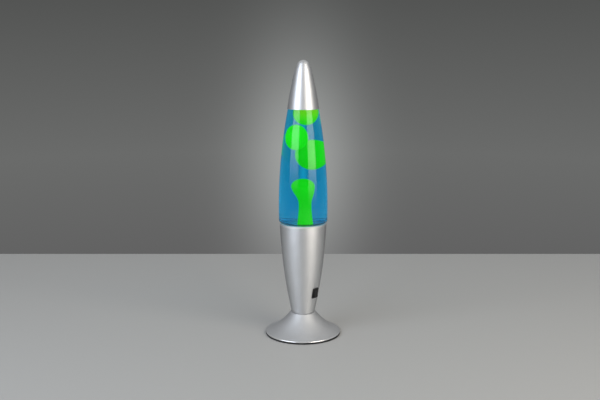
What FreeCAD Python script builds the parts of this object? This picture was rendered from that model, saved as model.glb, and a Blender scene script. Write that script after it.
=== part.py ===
import FreeCAD, Part
import math
import os

import Sketcher
from FreeCAD import Placement, Rotation, Vector

# Liquid motion lamp. Origin at the centre of the foot's underside, +Z up, front towards -Y, millimetres.

doc = FreeCAD.newDocument("MotionLamp")
sheet = doc.addObject("Spreadsheet::Sheet", "Sizes")
sheet_rows = []


def size(alias, value, note):
    sheet_rows.append(alias)
    row = len(sheet_rows)
    sheet.set(f"A{row}", note)
    sheet.set(f"B{row}", str(value))
    sheet.setAlias(f"B{row}", alias)
    return f"Sizes.{alias}"


# Foot
pad_thickness = size("pad_thickness", 2.0, "black foam ring under the foot")
pad_inset = size("pad_inset", 0.4, "from the lip's outside to the ring")
pad_width = size("pad_width", 4.0, "ring width")
foot_radius = size("foot_radius", 54.8, "outside of the rolled lip")
foot_height = size("foot_height", 30.6, "from the ring to the foot's flat top")
foot_wall = size("foot_wall", 0.8, "sheet of the foot")
foot_ledge = size("foot_ledge", 0.2, "flat top beyond the body, up to its rounded shoulder")
foot_shoulder = size("foot_shoulder", 2.2, "radius of the rounded shoulder")
foot_shoulder_angle = size("foot_shoulder_angle", 54.0, "slope where the flare starts")
foot_flare = size("foot_flare", 83.0, "radius of the hollow flare")
foot_lip = size("foot_lip", 1.0, "radius of the rolled lip")
foot_lip_angle = size("foot_lip_angle", 22.6, "slope where the flare meets the lip")
flange_edge = size("flange_edge", 2.6, "turned-in flange inside the ring of screws")

# Body of the base
base_height = size("base_height", 132.4, "from the foot to the top of the rolled rim")
base_wall = size("base_wall", 0.8, "sheet of the body")
base_foot_radius = size("base_foot_radius", 17.0, "narrow end, outside")
base_corner = size("base_corner", 1.4, "rounded corner at the narrow end")
base_rim_radius = size("base_rim_radius", 33.6, "wide end, outside")
base_side = size("base_side", 770.0, "radius of the swelling side")
rim_roll = size("rim_roll", 2.2, "radius of the rolled rim")
flat_clear = size("flat_clear", 0.1, "between a pressed flat and the flange that sits on it")

# Bottle
seat_gap = size("seat_gap", 0.3, "running gap where bottle meets rim and cap meets bottle")
glass_wall = size("glass_wall", 2.0, "glass thickness")
bottle_overhang = size("bottle_overhang", 1.4, "widest place, beyond the body's wide end")
bottle_widest = size("bottle_widest", 30.0, "height of the widest place over the bottle's bottom")
bottle_narrowing = size("bottle_narrowing", 14.85, "how much narrower the end of the side is")
plug_clear = size("plug_clear", 0.6, "between the rim and the stepped bottom that dips into it")
plug_height = size("plug_height", 7.3, "height of that step")
plug_corner = size("plug_corner", 3.0, "rounded lower corner")
step_fillet = size("step_fillet", 0.8, "hollow corner under the shoulder")
bottle_shoulder = size("bottle_shoulder", 4.0, "rounded shoulder that rests on the rim")
bottle_push_up = size("bottle_push_up", 0.8, "hollow under the bottom")
standing_ring = size("standing_ring", 6.6, "width of the bottom's standing ring, with its corner")
floor_thickness = size("floor_thickness", 3.0, "glass at the bottom")
floor_corner = size("floor_corner", 2.0, "hollow corner round the floor")
side_drop = size("side_drop", 20.0, "end of the side under the bottle's top")
neck_drop = size("neck_drop", 10.8, "start of the neck under the bottle's top")
bore_drop = size("bore_drop", 11.5, "start of the straight bore under the bottle's top")
neck_radius = size("neck_radius", 11.8, "neck, outside")
neck_bore = size("neck_bore", 8.0, "neck, inside")
neck_bend = size("neck_bend", 9.5, "radius between side and neck")
neck_hollow = size("neck_hollow", 2.0, "hollow radius at the foot of the neck")
bore_hollow = size("bore_hollow", 3.0, "same inside")
neck_slope = size("neck_slope", 75.0, "steepest slope below the neck")
bead_drop = size("bead_drop", 6.0, "start of the neck's bead under the bottle's top")
bead_radius = size("bead_radius", 13.1, "bead that the crown grips")
bead_round = size("bead_round", 2.6, "rounding of the bead")
bottle_height = size("bottle_height", 198.0, "whole bottle")

# Closure under the cap
liner_thickness = size("liner_thickness", 0.6, "soft liner")
crown_sheet = size("crown_sheet", 0.3, "tinned sheet of the crown")
crown_skirt = size("crown_skirt", 5.6, "depth of the crown's skirt")
crown_flare = size("crown_flare", 1.0, "how far the skirt spreads")
crown_teeth = size("crown_teeth", 21, "number of flutes")
crown_fit = size("crown_fit", 0.1, "between bead and crown")
flute_radius = size("flute_radius", 1.5, "radius of a flute")
flute_floor = size("flute_floor", 0.05, "sheet left behind a flute, beyond the skirt's top")

# Pointed cap
cap_drop = size("cap_drop", 27.9, "cap's mouth under the bottle's top")
cap_height = size("cap_height", 67.9, "mouth to tip")
cap_wall = size("cap_wall", 0.6, "sheet of the cap")
cap_lower_arc = size("cap_lower_arc", 540.0, "radius of the lower flank")
cap_upper_arc = size("cap_upper_arc", 68.0, "radius of the upper flank")
cap_knee_radius = size("cap_knee_radius", 12.8, "where the two flanks meet")
cap_knee_height = size("cap_knee_height", 50.1, "height of that place")
cap_knee_angle = size("cap_knee_angle", 13.8, "slope at that place")
cap_tip = size("cap_tip", 9.2, "radius of the blunt tip")
cap_tip_angle = size("cap_tip_angle", 24.2, "slope where the tip starts")

# Liquid, coil and wax
liquid_gap = size("liquid_gap", 0.1, "film between the liquid and what it wets")
fill_drop = size("fill_drop", 16.0, "liquid level under the bottle's top")
coil_wire = size("coil_wire", 1.4, "thickness of the coil's wire")
coil_inset = size("coil_inset", 2.2, "from the glass to the middle of the coil's wire")
coil_pitch = size("coil_pitch", 2.1, "rise of one turn")
coil_quarters = size("coil_quarters", 10, "number of quarter turns")
coil_clear = size("coil_clear", 0.3, "liquid kept off the coil")
wax_gap = size("wax_gap", 0.4, "between free wax and the liquid's hollow")
column_height = size("column_height", 68.5, "wax column")
column_base = size("column_base", 10.4, "radius of its spread base")
column_waist = size("column_waist", 6.7, "radius of its waist")
column_waist_height = size("column_waist_height", 33.0, "height of the waist")
column_head = size("column_head", 12.3, "radius of its head")
column_head_height = size("column_head_height", 55.5, "height of the head's widest place")
column_swell = size("column_swell", 0.58, "share of the way from waist to head that curves inward")
column_offset = size("column_offset", 2.4, "distance of its base from the axis")
column_sink = size("column_sink", 1.5, "part of the turned shape that the floor cuts off")

# Rocker switch
switch_height = size("switch_height", 31.4, "middle of the switch over the foot's top")
switch_azimuth = size("switch_azimuth", 49.0, "from the front towards +X")
switch_flat = size("switch_flat", 0.6, "depth of the pressed flat at its middle")
switch_flat_arc = size("switch_flat_arc", 400.0, "lengthwise radius of the pressed flat")
bezel_length = size("bezel_length", 15.0, "rim of the housing, upright")
bezel_width = size("bezel_width", 11.0, "rim of the housing, across")
bezel_thickness = size("bezel_thickness", 1.6, "how far the rim stands off the sheet")
bezel_corner = size("bezel_corner", 1.0, "rounded corners of the rim")
bezel_edge = size("bezel_edge", 0.4, "rounding along the rim")
housing_length = size("housing_length", 13.2, "housing behind the sheet, upright")
housing_width = size("housing_width", 8.8, "housing behind the sheet, across")
housing_depth = size("housing_depth", 9.4, "housing behind the sheet")
housing_wall = size("housing_wall", 0.7, "housing wall")
panel_fit = size("panel_fit", 0.15, "between housing and sheet")
rocker_fit = size("rocker_fit", 0.3, "between rocker and housing")
rocker_angle = size("rocker_angle", 11.0, "slope of each half of the rocker")
rocker_rise = size("rocker_rise", 0.5, "middle of the rocker over the bezel")
rocker_blend = size("rocker_blend", 1.5, "half length of the rounded middle")
rocker_draft = size("rocker_draft", 0.35, "how far each end leans in at its top")
rocker_wrap = size("rocker_wrap", 17.0, "part of each end that is round about the pivot, degrees")
rocker_depth = size("rocker_depth", 2.2, "rocker below its pivot")
rocker_foot = size("rocker_foot", 1.6, "half length of the rocker's underside")
pivot_depth = size("pivot_depth", 1.2, "pivot below the bezel's face")
pivot_radius = size("pivot_radius", 0.9, "pivot studs of the rocker")
pivot_fit = size("pivot_fit", 0.15, "round the pivot studs")
tab_length = size("tab_length", 4.4, "solder tabs behind the housing")
tab_inside = size("tab_inside", 2.4, "solder tabs in front of the housing's back face")
tab_width = size("tab_width", 2.8, "solder tabs, across")
tab_sheet = size("tab_sheet", 0.5, "solder tabs, thickness")
tab_spacing = size("tab_spacing", 7.0, "between the two tabs")
tab_fit = size("tab_fit", 0.1, "round the tabs in the housing")
bridge_width = size("bridge_width", 3.0, "contact bridge, across")
bridge_sheet = size("bridge_sheet", 0.6, "contact bridge, thickness")
bridge_pin = size("bridge_pin", 1.2, "radius of the bridge's pin")

# Mains inlet
inlet_height = size("inlet_height", 15.5, "middle of the bushing over the foot's top")
inlet_azimuth = size("inlet_azimuth", 180.0, "from the front towards +X")
inlet_flat = size("inlet_flat", 0.8, "depth of its pressed flat")
inlet_flat_arc = size("inlet_flat_arc", 190.0, "lengthwise radius of that flat")
inlet_hole = size("inlet_hole", 4.1, "radius of the hole in the sheet")
inlet_collar = size("inlet_collar", 5.2, "radius of the bushing's collars")
inlet_collar_thickness = size("inlet_collar_thickness", 1.4, "thickness of each collar")
inlet_nose = size("inlet_nose", 3.6, "bushing in front of the sheet")
inlet_nose_radius = size("inlet_nose_radius", 4.2, "end of the nose and of the tail")
inlet_tail = size("inlet_tail", 3.2, "bushing behind the sheet")
inlet_bore = size("inlet_bore", 2.9, "radius of the way through")
inlet_fit = size("inlet_fit", 0.05, "between bushing and sheet")

# Tube, nuts and washers
tube_radius = size("tube_radius", 4.9, "threaded tube, outside")
tube_bore = size("tube_bore", 3.7, "threaded tube, inside")
tube_fit = size("tube_fit", 0.3, "round the tube in the sheets that it bolts together")
thread_fit = size("thread_fit", 0.05, "between tube and nut")
tube_end = size("tube_end", 2.5, "tube below the lower nut")
nut_flats = size("nut_flats", 14.0, "across the flats")
nut_height = size("nut_height", 3.0, "nut thickness")
nut_chamfer = size("nut_chamfer", 0.5, "nut chamfer")
washer_radius = size("washer_radius", 8.0, "washer, outside")
washer_thickness = size("washer_thickness", 1.0, "washer")

# Lampholder
holder_height = size("holder_height", 32.6, "bottom of the holder over the inside of the body")
holder_neck = size("holder_neck", 8.3, "radius of the threaded neck")
holder_neck_height = size("holder_neck_height", 8.0, "height of the neck")
holder_radius = size("holder_radius", 13.5, "outside of the holder")
holder_bowl = size("holder_bowl", 6.0, "height of the bowl over the neck")
holder_dome_height = size("holder_dome_height", 16.0, "whole dome")
holder_sleeve_height = size("holder_sleeve_height", 28.0, "sleeve")
holder_wall = size("holder_wall", 1.5, "moulded wall")
core_rim = size("core_rim", 0.9, "how far the core's rim stands on the dome")
core_rim_height = size("core_rim_height", 1.2, "core's rim")
core_drop = size("core_drop", 1.0, "core inside the dome")
core_rise = size("core_rise", 2.8, "core above its rim")
core_fit = size("core_fit", 0.15, "between core, dome and sleeve")
shell_wall = size("shell_wall", 0.5, "brass screw shell")
shell_fit = size("shell_fit", 0.4, "between bulb thread and screw shell")
shell_height = size("shell_height", 20.0, "brass screw shell")
shell_hole = size("shell_hole", 4.5, "hole in the shell's floor")
tongue_radius = size("tongue_radius", 3.0, "centre contact of the holder")
tongue_height = size("tongue_height", 1.2, "centre contact of the holder")
tongue_edge = size("tongue_edge", 0.4, "edge of that contact")
entry_radius = size("entry_radius", 1.5, "wire entries in the dome")
terminal_radius = size("terminal_radius", 1.7, "wire terminals under the core")
terminal_height = size("terminal_height", 2.4, "wire terminals under the core")
terminal_fit = size("terminal_fit", 0.1, "between a wire and its terminal")
terminal_floor = size("terminal_floor", 0.5, "from a wire's end to the core")

# Bulb
bulb_gap = size("bulb_gap", 0.3, "between the bulb's tip and its contact")
thread_crest = size("thread_crest", 6.95, "bulb thread, crest")
thread_root = size("thread_root", 6.1, "bulb thread, root")
thread_pitch = size("thread_pitch", 2.8, "bulb thread")
thread_ridges = size("thread_ridges", 5, "ridges of the bulb thread")
thread_bore = size("thread_bore", 5.6, "inside of the bulb's thread")
tip_radius = size("tip_radius", 2.4, "centre contact of the bulb")
tip_height = size("tip_height", 1.4, "centre contact of the bulb")
insulator_foot = size("insulator_foot", 3.0, "narrow end of the glass bead")
insulator_height = size("insulator_height", 3.6, "glass bead round the contact")
insulator_plug = size("insulator_plug", 1.5, "bead inside the thread")
bulb_skirt = size("bulb_skirt", 4.0, "plain skirt over the thread")
skirt_wall = size("skirt_wall", 0.45, "sheet of the skirt")
skirt_flare = size("skirt_flare", 0.8, "height of the skirt's step")
bulb_sunk = size("bulb_sunk", 3.0, "glass neck inside the skirt")
bulb_neck = size("bulb_neck", 7.0, "radius of the glass at the skirt")
bulb_neck_height = size("bulb_neck_height", 5.0, "straight part of the bulb's neck")
bulb_radius = size("bulb_radius", 19.5, "reflector, widest")
bulb_widest = size("bulb_widest", 27.0, "widest place over the neck's end")
bulb_height = size("bulb_height", 40.0, "whole bulb glass")
bulb_flank = size("bulb_flank", 34.0, "radius of the reflector's flank")
bulb_face = size("bulb_face", 34.0, "radius of the bulb's face")
bulb_edge = size("bulb_edge", 5.5, "from the widest place in to the face")
bulb_edge_arc = size("bulb_edge_arc", 9.0, "radius between flank and face")
bulb_wall = size("bulb_wall", 0.7, "bulb glass")
seal_fit = size("seal_fit", 0.05, "between pieces that are sealed together")
stem_radius = size("stem_radius", 2.6, "glass stem in the bulb")
stem_edge = size("stem_edge", 0.8, "edge of the stem's spread foot")
stem_flare = size("stem_flare", 3.0, "height of the stem's spread foot")
stem_hollow = size("stem_hollow", 4.0, "radius of that foot")
stem_height = size("stem_height", 9.0, "glass stem in the bulb")
filament_wire = size("filament_wire", 0.6, "filament and its leads, as one strand")
filament_span = size("filament_span", 9.0, "width of the filament")
filament_height = size("filament_height", 18.0, "filament over the neck's end")
filament_drop = size("filament_drop", 3.0, "upright ends of the filament")
lead_spacing = size("lead_spacing", 2.4, "between the leads at the stem")
lead_rise = size("lead_rise", 2.5, "upright part of each lead")

# Inner wiring
wire_thickness = size("wire_thickness", 2.1, "insulated inner wire")
wire_bend = size("wire_bend", 0.45, "share of a run that its bend takes up")
wire_overlap = size("wire_overlap", 1.5, "wire beyond its tab")
tab_clear = size("tab_clear", 0.05, "between a wire and the side of its tab")
block_length = size("block_length", 15.0, "terminal block, across")
block_depth = size("block_depth", 6.6, "terminal block, from front to back")
block_height = size("block_height", 13.0, "terminal block, upright")
block_distance = size("block_distance", 6.2, "near face of the block from the axis")
block_lift = size("block_lift", 5.0, "block over the body's floor")
block_spacing = size("block_spacing", 7.0, "between the block's two poles")
block_fit = size("block_fit", 0.1, "round wires and screws in the block")
block_screw = size("block_screw", 1.4, "radius of the block's screws")
block_screw_length = size("block_screw_length", 1.9, "length of the block's screws")
block_screw_sink = size("block_screw_sink", 0.3, "screw heads below the block's face")
block_row = size("block_row", 3.2, "distance of the screw rows from the block's ends")
wire_in_block = size("wire_in_block", 4.0, "length of wire held in the block")
supply_rise = size("supply_rise", 4.0, "supply wire over the block before it turns")
supply_ring = size("supply_ring", 11.5, "supply wire's distance from the axis in front of the tube")
supply_turn = size("supply_turn", -25.0, "azimuth of that place")
supply_drop = size("supply_drop", 7.5, "upright end of the supply wire")

# Plate under the foot
plate_thickness = size("plate_thickness", 1.0, "plate that closes the foot")
plate_inset = size("plate_inset", 3.7, "from the lip's outside to the plate")
plate_dish = size("plate_dish", 3.0, "height of its raised middle")
plate_dish_radius = size("plate_dish_radius", 30.0, "raised middle")
screw_count = size("screw_count", 3, "screws that hold the plate")
head_clear = size("head_clear", 0.4, "between the screw heads and the foam ring")
screw_shank = size("screw_shank", 0.9, "shank radius")
screw_head = size("screw_head", 1.8, "head radius")
screw_head_height = size("screw_head_height", 1.1, "head height")
screw_length = size("screw_length", 3.0, "shank length")
screw_fit = size("screw_fit", 0.05, "round the shanks")

# Free wax: place of each piece's middle, and half its size across, from front to back and upright. Like the
# wax itself they follow the bottle: upright values are parts of the liquid's level, the others of its widest
# inside.
wax_words = ("right", "back", "height", "across", "depth", "upright")
free_wax = {
    "wax_blob_upper": (0.0788, 0.0606, 0.8929, 0.4212, 0.4061, 0.0907),
    "wax_blob_left": (-0.2485, -0.2485, 0.7159, 0.4333, 0.3879, 0.0984),
    "wax_blob_right": (0.2545, 0.2424, 0.5731, 0.5333, 0.4364, 0.1187),
}
wax_size = {}
for piece, values in free_wax.items():
    for word, value in zip(wax_words, values):
        wax_size[piece, word] = size(f"{piece}_{word}", value, f"{piece}: {word}")

doc.recompute()


def val(expression):
    return float(sheet.evalExpression(str(expression)))


# Places and heights that several pieces share
foot_top_radius = f"({base_foot_radius} + {foot_ledge})"
screw_ring = f"({foot_radius} - {pad_inset} - {pad_width} - {screw_head} - {head_clear})"
flange_inner = f"({screw_ring} - {flange_edge})"
plate_radius = f"({foot_radius} - {plate_inset})"
tube_hole = f"({tube_radius} + {tube_fit})"
bottle_radius = f"({base_rim_radius} + {bottle_overhang})"
bottle_taper = f"({bottle_height} - {side_drop})"
side_square = f"(pow({bottle_narrowing}; 2) + pow({bottle_taper} - {bottle_widest}; 2))"
bottle_side = f"({side_square} / (2 * {bottle_narrowing}))"
plug_radius = f"({base_rim_radius} - 2 * {rim_roll} - {plug_clear})"
bottle_ring = f"({plug_radius} - {standing_ring})"
neck_start = f"({bottle_height} - {neck_drop})"
bore_start = f"({bottle_height} - {bore_drop})"
bead_height = f"({bottle_height} - {bead_drop})"
cap_line = f"({bottle_height} - {cap_drop})"
fill_height = f"({bottle_height} - {fill_drop})"
coil_radius = f"({plug_radius} - {glass_wall} - {coil_inset})"
foot_top = f"({pad_thickness} + {foot_height})"
rim_top = f"({foot_top} + {base_height})"
bottle_bottom = f"({rim_top} + {seat_gap} - {plug_height})"
base_floor = f"({foot_top} + {base_wall})"
holder_bottom = f"({base_floor} + {holder_height})"
core_top = f"({holder_dome_height} + {core_rim_height} + {core_rise})"
tip_bottom = f"({holder_bottom} + {core_top} + {tongue_height} + {bulb_gap})"
thread_bottom = f"({tip_bottom} + {tip_height} + {insulator_height})"
thread_length = f"({thread_ridges} * {thread_pitch})"
glass_bottom = f"({thread_bottom} + {thread_length} + {bulb_skirt} - {bulb_sunk})"


# Sketch points and edges held by the sheet
def pin_point(sketch, edge, point, across, up):
    for axis, direction, expression in ((-2, "DistanceX", across), (-1, "DistanceY", up)):
        distance = val(expression)
        if abs(distance) < 1e-9:
            sketch.addConstraint(Sketcher.Constraint("PointOnObject", edge, point, axis))
        elif distance > 0:
            row = sketch.addConstraint(Sketcher.Constraint(direction, -1, 1, edge, point, distance))
            sketch.setExpression(f"Constraints[{row}]", f"{expression}")
        else:
            row = sketch.addConstraint(Sketcher.Constraint(direction, edge, point, -1, 1, -distance))
            sketch.setExpression(f"Constraints[{row}]", f"-({expression})")


def pin_radius(sketch, edge, radius):
    row = sketch.addConstraint(Sketcher.Constraint("Radius", edge, val(radius)))
    sketch.setExpression(f"Constraints[{row}]", f"{radius}")


def draw_circle(sketch, across, up, radius):
    circle = Part.Circle(Vector(val(across), val(up), 0), Vector(0, 0, 1), val(radius))
    edge = sketch.addGeometry(circle, False)
    pin_point(sketch, edge, 3, across, up)
    pin_radius(sketch, edge, radius)


# A closed outline. Each corner is (across, up) or (across, up, radius, side): then the edge that leaves the
# corner is an arc of that radius, and side is +1 if the arc bulges to the right of its way, -1 if to the left.
def draw_outline(sketch, corners):
    places = [Vector(val(corner[0]), val(corner[1]), 0) for corner in corners]
    edges = []
    for number, corner in enumerate(corners):
        start = places[number]
        end = places[(number + 1) % len(corners)]
        if len(corner) == 2:
            edges.append((sketch.addGeometry(Part.LineSegment(start, end), False), 1, 2))
            continue
        radius, side = val(corner[2]), corner[3]
        chord = end - start
        right = Vector(chord.y, -chord.x, 0).normalize()
        rise = math.sqrt(max(radius**2 - chord.Length**2 / 4, 0))
        centre = (start + end) / 2 - right * rise * side
        first, last = (start, end) if side > 0 else (end, start)
        turn_on = math.atan2(first.y - centre.y, first.x - centre.x)
        turn_off = math.atan2(last.y - centre.y, last.x - centre.x)
        arc = Part.ArcOfCircle(Part.Circle(centre, Vector(0, 0, 1), radius), turn_on, turn_off)
        edge = sketch.addGeometry(arc, False)
        edges.append((edge, 1, 2) if side > 0 else (edge, 2, 1))
    for number, corner in enumerate(corners):
        edge, begins, stops = edges[number]
        following, meets = edges[(number + 1) % len(corners)][:2]
        sketch.addConstraint(Sketcher.Constraint("Coincident", edge, stops, following, meets))
        pin_point(sketch, edge, begins, corner[0], corner[1])
        if len(corner) > 2:
            pin_radius(sketch, edge, corner[2])


def rectangle(width, height, middle="0"):
    return [
        (f"-{width} / 2", f"{middle} - ({height}) / 2"),
        (f"{width} / 2", f"{middle} - ({height}) / 2"),
        (f"{width} / 2", f"{middle} + ({height}) / 2"),
        (f"-{width} / 2", f"{middle} + ({height}) / 2"),
    ]


def rounded_rectangle(width, height, corner):
    corners = []
    for across, up in ((1, -1), (1, 1), (-1, 1), (-1, -1)):
        side = (f"{across} * {width} / 2", f"{up} * ({height} / 2 - {corner})")
        end = (f"{across} * ({width} / 2 - {corner})", f"{up} * {height} / 2")
        first, last = (end, side) if across * up < 0 else (side, end)
        corners += [first + (corner, 1), last]
    return corners


# Sub-parts and their features
sub_parts = []


def new_body(label, is_sub_part=True):
    body = doc.addObject("PartDesign::Body", label)
    body.Label = label
    if is_sub_part:
        sub_parts.append(body)
    return body


def new_sketch(body, name, role, offset=None):
    sketch = body.newObject("Sketcher::SketchObject", f"{body.Name}_{name}_sketch")
    plane = [part for part in body.Origin.OriginFeatures if part.Role == role][0]
    sketch.AttachmentSupport = [(plane, "")]
    sketch.MapMode = "FlatFace"
    if offset:
        sketch.setExpression("AttachmentOffset.Base.z", f"{offset}")
    return sketch


def revolve(body, corners, name="turned"):
    sketch = new_sketch(body, name, "XZ_Plane")
    draw_outline(sketch, corners)
    turned = body.newObject("PartDesign::Revolution", f"{body.Name}_{name}")
    turned.Profile = sketch
    turned.ReferenceAxis = (sketch, ["V_Axis"])
    turned.Angle = 360
    body.Tip = turned
    return turned


def turned_part(label, height, corners, is_sub_part=True):
    body = new_body(label, is_sub_part)
    revolve(body, corners)
    body.setExpression("Placement.Base.z", f"{height}")
    return body


def extrude(body, sketch, length, name, midplane=False, downward=False):
    pad = body.newObject("PartDesign::Pad", f"{body.Name}_{name}")
    pad.Profile = sketch
    pad.SideType = "Symmetric" if midplane else "One side"
    pad.Reversed = downward
    pad.setExpression("Length", f"{length}")
    body.Tip = pad
    return pad


# A pocket or groove has to take material away
def check_cut(body, feature, before):
    body.Tip = feature
    doc.recompute()
    if not body.Shape.Volume < before:
        raise RuntimeError(f"{feature.Name} takes nothing away")
    return feature


# A pocket runs with the sketch's normal if forward, else against it
def cut_pocket(body, sketch, length, name, forward=False, midplane=False):
    doc.recompute()
    before = body.Shape.Volume
    pocket = body.newObject("PartDesign::Pocket", f"{body.Name}_{name}")
    pocket.Profile = sketch
    pocket.SideType = "Symmetric" if midplane else "One side"
    pocket.Reversed = forward
    pocket.setExpression("Length", f"{length}")
    return check_cut(body, pocket, before)


def cut_groove(body, corners, name):
    doc.recompute()
    before = body.Shape.Volume
    sketch = new_sketch(body, name, "XZ_Plane")
    draw_outline(sketch, corners)
    groove = body.newObject("PartDesign::Groove", f"{body.Name}_{name}")
    groove.Profile = sketch
    groove.ReferenceAxis = (sketch, ["V_Axis"])
    groove.Angle = 360
    return check_cut(body, groove, before)


def repeat_round(body, features, sketch, count, name):
    pattern = body.newObject("PartDesign::PolarPattern", f"{body.Name}_{name}")
    pattern.Originals = features
    pattern.Axis = (sketch, ["N_Axis"])
    pattern.Angle = 360
    pattern.setExpression("Occurrences", f"{count}")
    body.Tip = pattern
    return pattern


def round_edges(body, feature, radius, name, wanted):
    doc.recompute()
    edges = [f"Edge{number + 1}" for number, edge in enumerate(feature.Shape.Edges) if wanted(edge)]
    fillet = body.newObject("PartDesign::Fillet", f"{body.Name}_{name}")
    fillet.Base = (feature, edges)
    fillet.setExpression("Radius", f"{radius}")
    body.Tip = fillet
    return fillet


def solid(kind, name, sizes, place=Placement()):
    shape = doc.addObject(f"Part::{kind}", name)
    for word, expression in sizes.items():
        shape.setExpression(word, f"{expression}")
    shape.Placement = place
    return shape


def cut_shape(label, base, tools, height=None):
    tool = tools[0]
    if len(tools) > 1:
        tool = doc.addObject("Part::MultiFuse", f"{label}_tools")
        tool.Shapes = tools
    cut = doc.addObject("Part::Cut", label)
    cut.Label = label
    cut.Base = base
    cut.Tool = tool
    if height:
        cut.setExpression("Placement.Base.z", f"{height}")
        sub_parts.append(cut)
    return cut


def on_circle(across, up, radius, angle):
    return (f"{across} + ({radius}) * sin({angle})", f"{up} + ({radius}) * cos({angle})")


# Foam ring and spun foot
turned_part("foot_pad", "0", [
    (f"{foot_radius} - {pad_inset} - {pad_width}", "0"),
    (f"{foot_radius} - {pad_inset}", "0"),
    (f"{foot_radius} - {pad_inset}", pad_thickness),
    (f"{foot_radius} - {pad_inset} - {pad_width}", pad_thickness),
])

lip_middle = f"({foot_radius} - {foot_lip})"
lip_inside = f"({foot_lip} - {foot_wall})"
shoulder_middle = f"({foot_height} - {foot_shoulder})"
shoulder_inside = f"({foot_shoulder} - {foot_wall})"
foot_shell = turned_part("foot_shell", pad_thickness, [
    (tube_hole, foot_height),
    (foot_top_radius, foot_height, foot_shoulder, -1),
    on_circle(foot_top_radius, shoulder_middle, foot_shoulder, foot_shoulder_angle) + (foot_flare, 1),
    on_circle(lip_middle, foot_lip, foot_lip, foot_lip_angle) + (foot_lip, -1),
    (foot_radius, foot_lip, foot_lip, -1),
    (lip_middle, "0"),
    (flange_inner, "0"),
    (flange_inner, foot_wall),
    (lip_middle, foot_wall, lip_inside, 1),
    (f"{foot_radius} - {foot_wall}", foot_lip, lip_inside, 1),
    on_circle(lip_middle, foot_lip, lip_inside, foot_lip_angle) + (f"{foot_flare} + {foot_wall}", -1),
    on_circle(foot_top_radius, shoulder_middle, shoulder_inside, foot_shoulder_angle) + (shoulder_inside, 1),
    (foot_top_radius, f"{foot_height} - {foot_wall}"),
    (tube_hole, f"{foot_height} - {foot_wall}"),
])


# Plate under the foot and its screws, which pass through the foot's flange
def cut_screw_holes(body, sheet_thickness):
    sketch = new_sketch(body, "screw_hole", "XY_Plane")
    draw_circle(sketch, screw_ring, "0", f"{screw_shank} + {screw_fit}")
    hole = cut_pocket(body, sketch, f"1.5 * {sheet_thickness}", "screw_hole", forward=True)
    repeat_round(body, [hole], sketch, screw_count, "screw_holes")


cut_screw_holes(foot_shell, foot_wall)

dish_corner = f"{plate_thickness} * tan(22.5)"
bottom_plate = turned_part("bottom_plate", f"{pad_thickness} + {foot_wall}", [
    ("0", plate_dish),
    (plate_dish_radius, plate_dish),
    (f"{plate_dish_radius} + {plate_dish}", "0"),
    (plate_radius, "0"),
    (plate_radius, plate_thickness),
    (f"{plate_dish_radius} + {plate_dish} + {dish_corner}", plate_thickness),
    (f"{plate_dish_radius} + {dish_corner}", f"{plate_dish} + {plate_thickness}"),
    ("0", f"{plate_dish} + {plate_thickness}"),
])
cut_screw_holes(bottom_plate, plate_thickness)

plate_screws = new_body("plate_screws")
head_sketch = new_sketch(plate_screws, "head", "XY_Plane")
draw_circle(head_sketch, screw_ring, "0", screw_head)
head = extrude(plate_screws, head_sketch, screw_head_height, "head", downward=True)
shank_sketch = new_sketch(plate_screws, "shank", "XY_Plane")
draw_circle(shank_sketch, screw_ring, "0", screw_shank)
shank = extrude(plate_screws, shank_sketch, screw_length, "shank")
repeat_round(plate_screws, [head, shank], shank_sketch, screw_count, "all")
plate_screws.setExpression("Placement.Base.z", pad_thickness)


# Place and slope of the body's side at a height over the foot's top
def wall_place(height):
    low = Vector(val(base_foot_radius), 0, val(base_corner))
    high = Vector(val(base_rim_radius), 0, val(base_height) - val(rim_roll))
    chord = high - low
    inward = Vector(-chord.z, 0, chord.x).normalize()
    centre = (low + high) / 2 + inward * math.sqrt(val(base_side)**2 - chord.Length**2 / 4)
    slope = math.asin((height - centre.z) / val(base_side))
    return centre.x + val(base_side) * math.cos(slope), slope


# A frame on the body's side, sunk in by depth: +Z outward, +Y up the side. Its height counts from the foot's
# top.
def wall_frame(azimuth, height, depth):
    radius, slope = wall_place(val(height))
    turn = math.radians(val(azimuth))
    level = Vector(math.sin(turn), -math.cos(turn), 0)
    outward = level * math.cos(slope) + Vector(0, 0, math.sin(slope))
    across = Vector(math.cos(turn), math.sin(turn), 0)
    origin = level * radius + Vector(0, 0, val(height)) - outward * val(depth)
    return Placement(origin, Rotation(across, outward.cross(across), outward, "ZXY"))


# The drum that presses a flat into the side lies across it
def press_tool(name, frame, arc, skin):
    drum_length = f"2 * {base_rim_radius}"
    drum_turn = Rotation(Vector(0, 1, 0), 90)
    place = frame * Placement(Vector(-val(drum_length) / 2, 0, val(arc)), drum_turn)
    return solid("Cylinder", name, {"Radius": f"{arc} + {skin}", "Height": drum_length}, place)


switch_frame = wall_frame(switch_azimuth, switch_height, switch_flat)
inlet_frame = wall_frame(inlet_azimuth, inlet_height, inlet_flat)
roll_height = f"({base_height} - {rim_roll})"
roll_middle = f"({base_rim_radius} - {rim_roll})"
roll_inside = f"({rim_roll} - {base_wall})"
base_outside = turned_part("base_outside", "0", [
    ("0", "0"),
    (f"{base_foot_radius} - {base_corner}", "0", base_corner, 1),
    (base_foot_radius, base_corner, base_side, 1),
    (base_rim_radius, roll_height, rim_roll, 1),
    (roll_middle, base_height, rim_roll, 1),
    (f"{roll_middle} - {rim_roll}", roll_height),
    ("0", roll_height),
], is_sub_part=False)
base_inside = turned_part("base_inside", "0", [
    ("0", base_wall),
    (f"{base_foot_radius} - {base_corner}", base_wall, f"{base_corner} - {base_wall}", 1),
    (f"{base_foot_radius} - {base_wall}", base_corner, f"{base_side} - {base_wall}", 1),
    (f"{base_rim_radius} - {base_wall}", roll_height, roll_inside, 1),
    (roll_middle, f"{base_height} - {base_wall}", roll_inside, 1),
    (f"{roll_middle} - {roll_inside}", roll_height),
    ("0", roll_height),
], is_sub_part=False)
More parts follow.
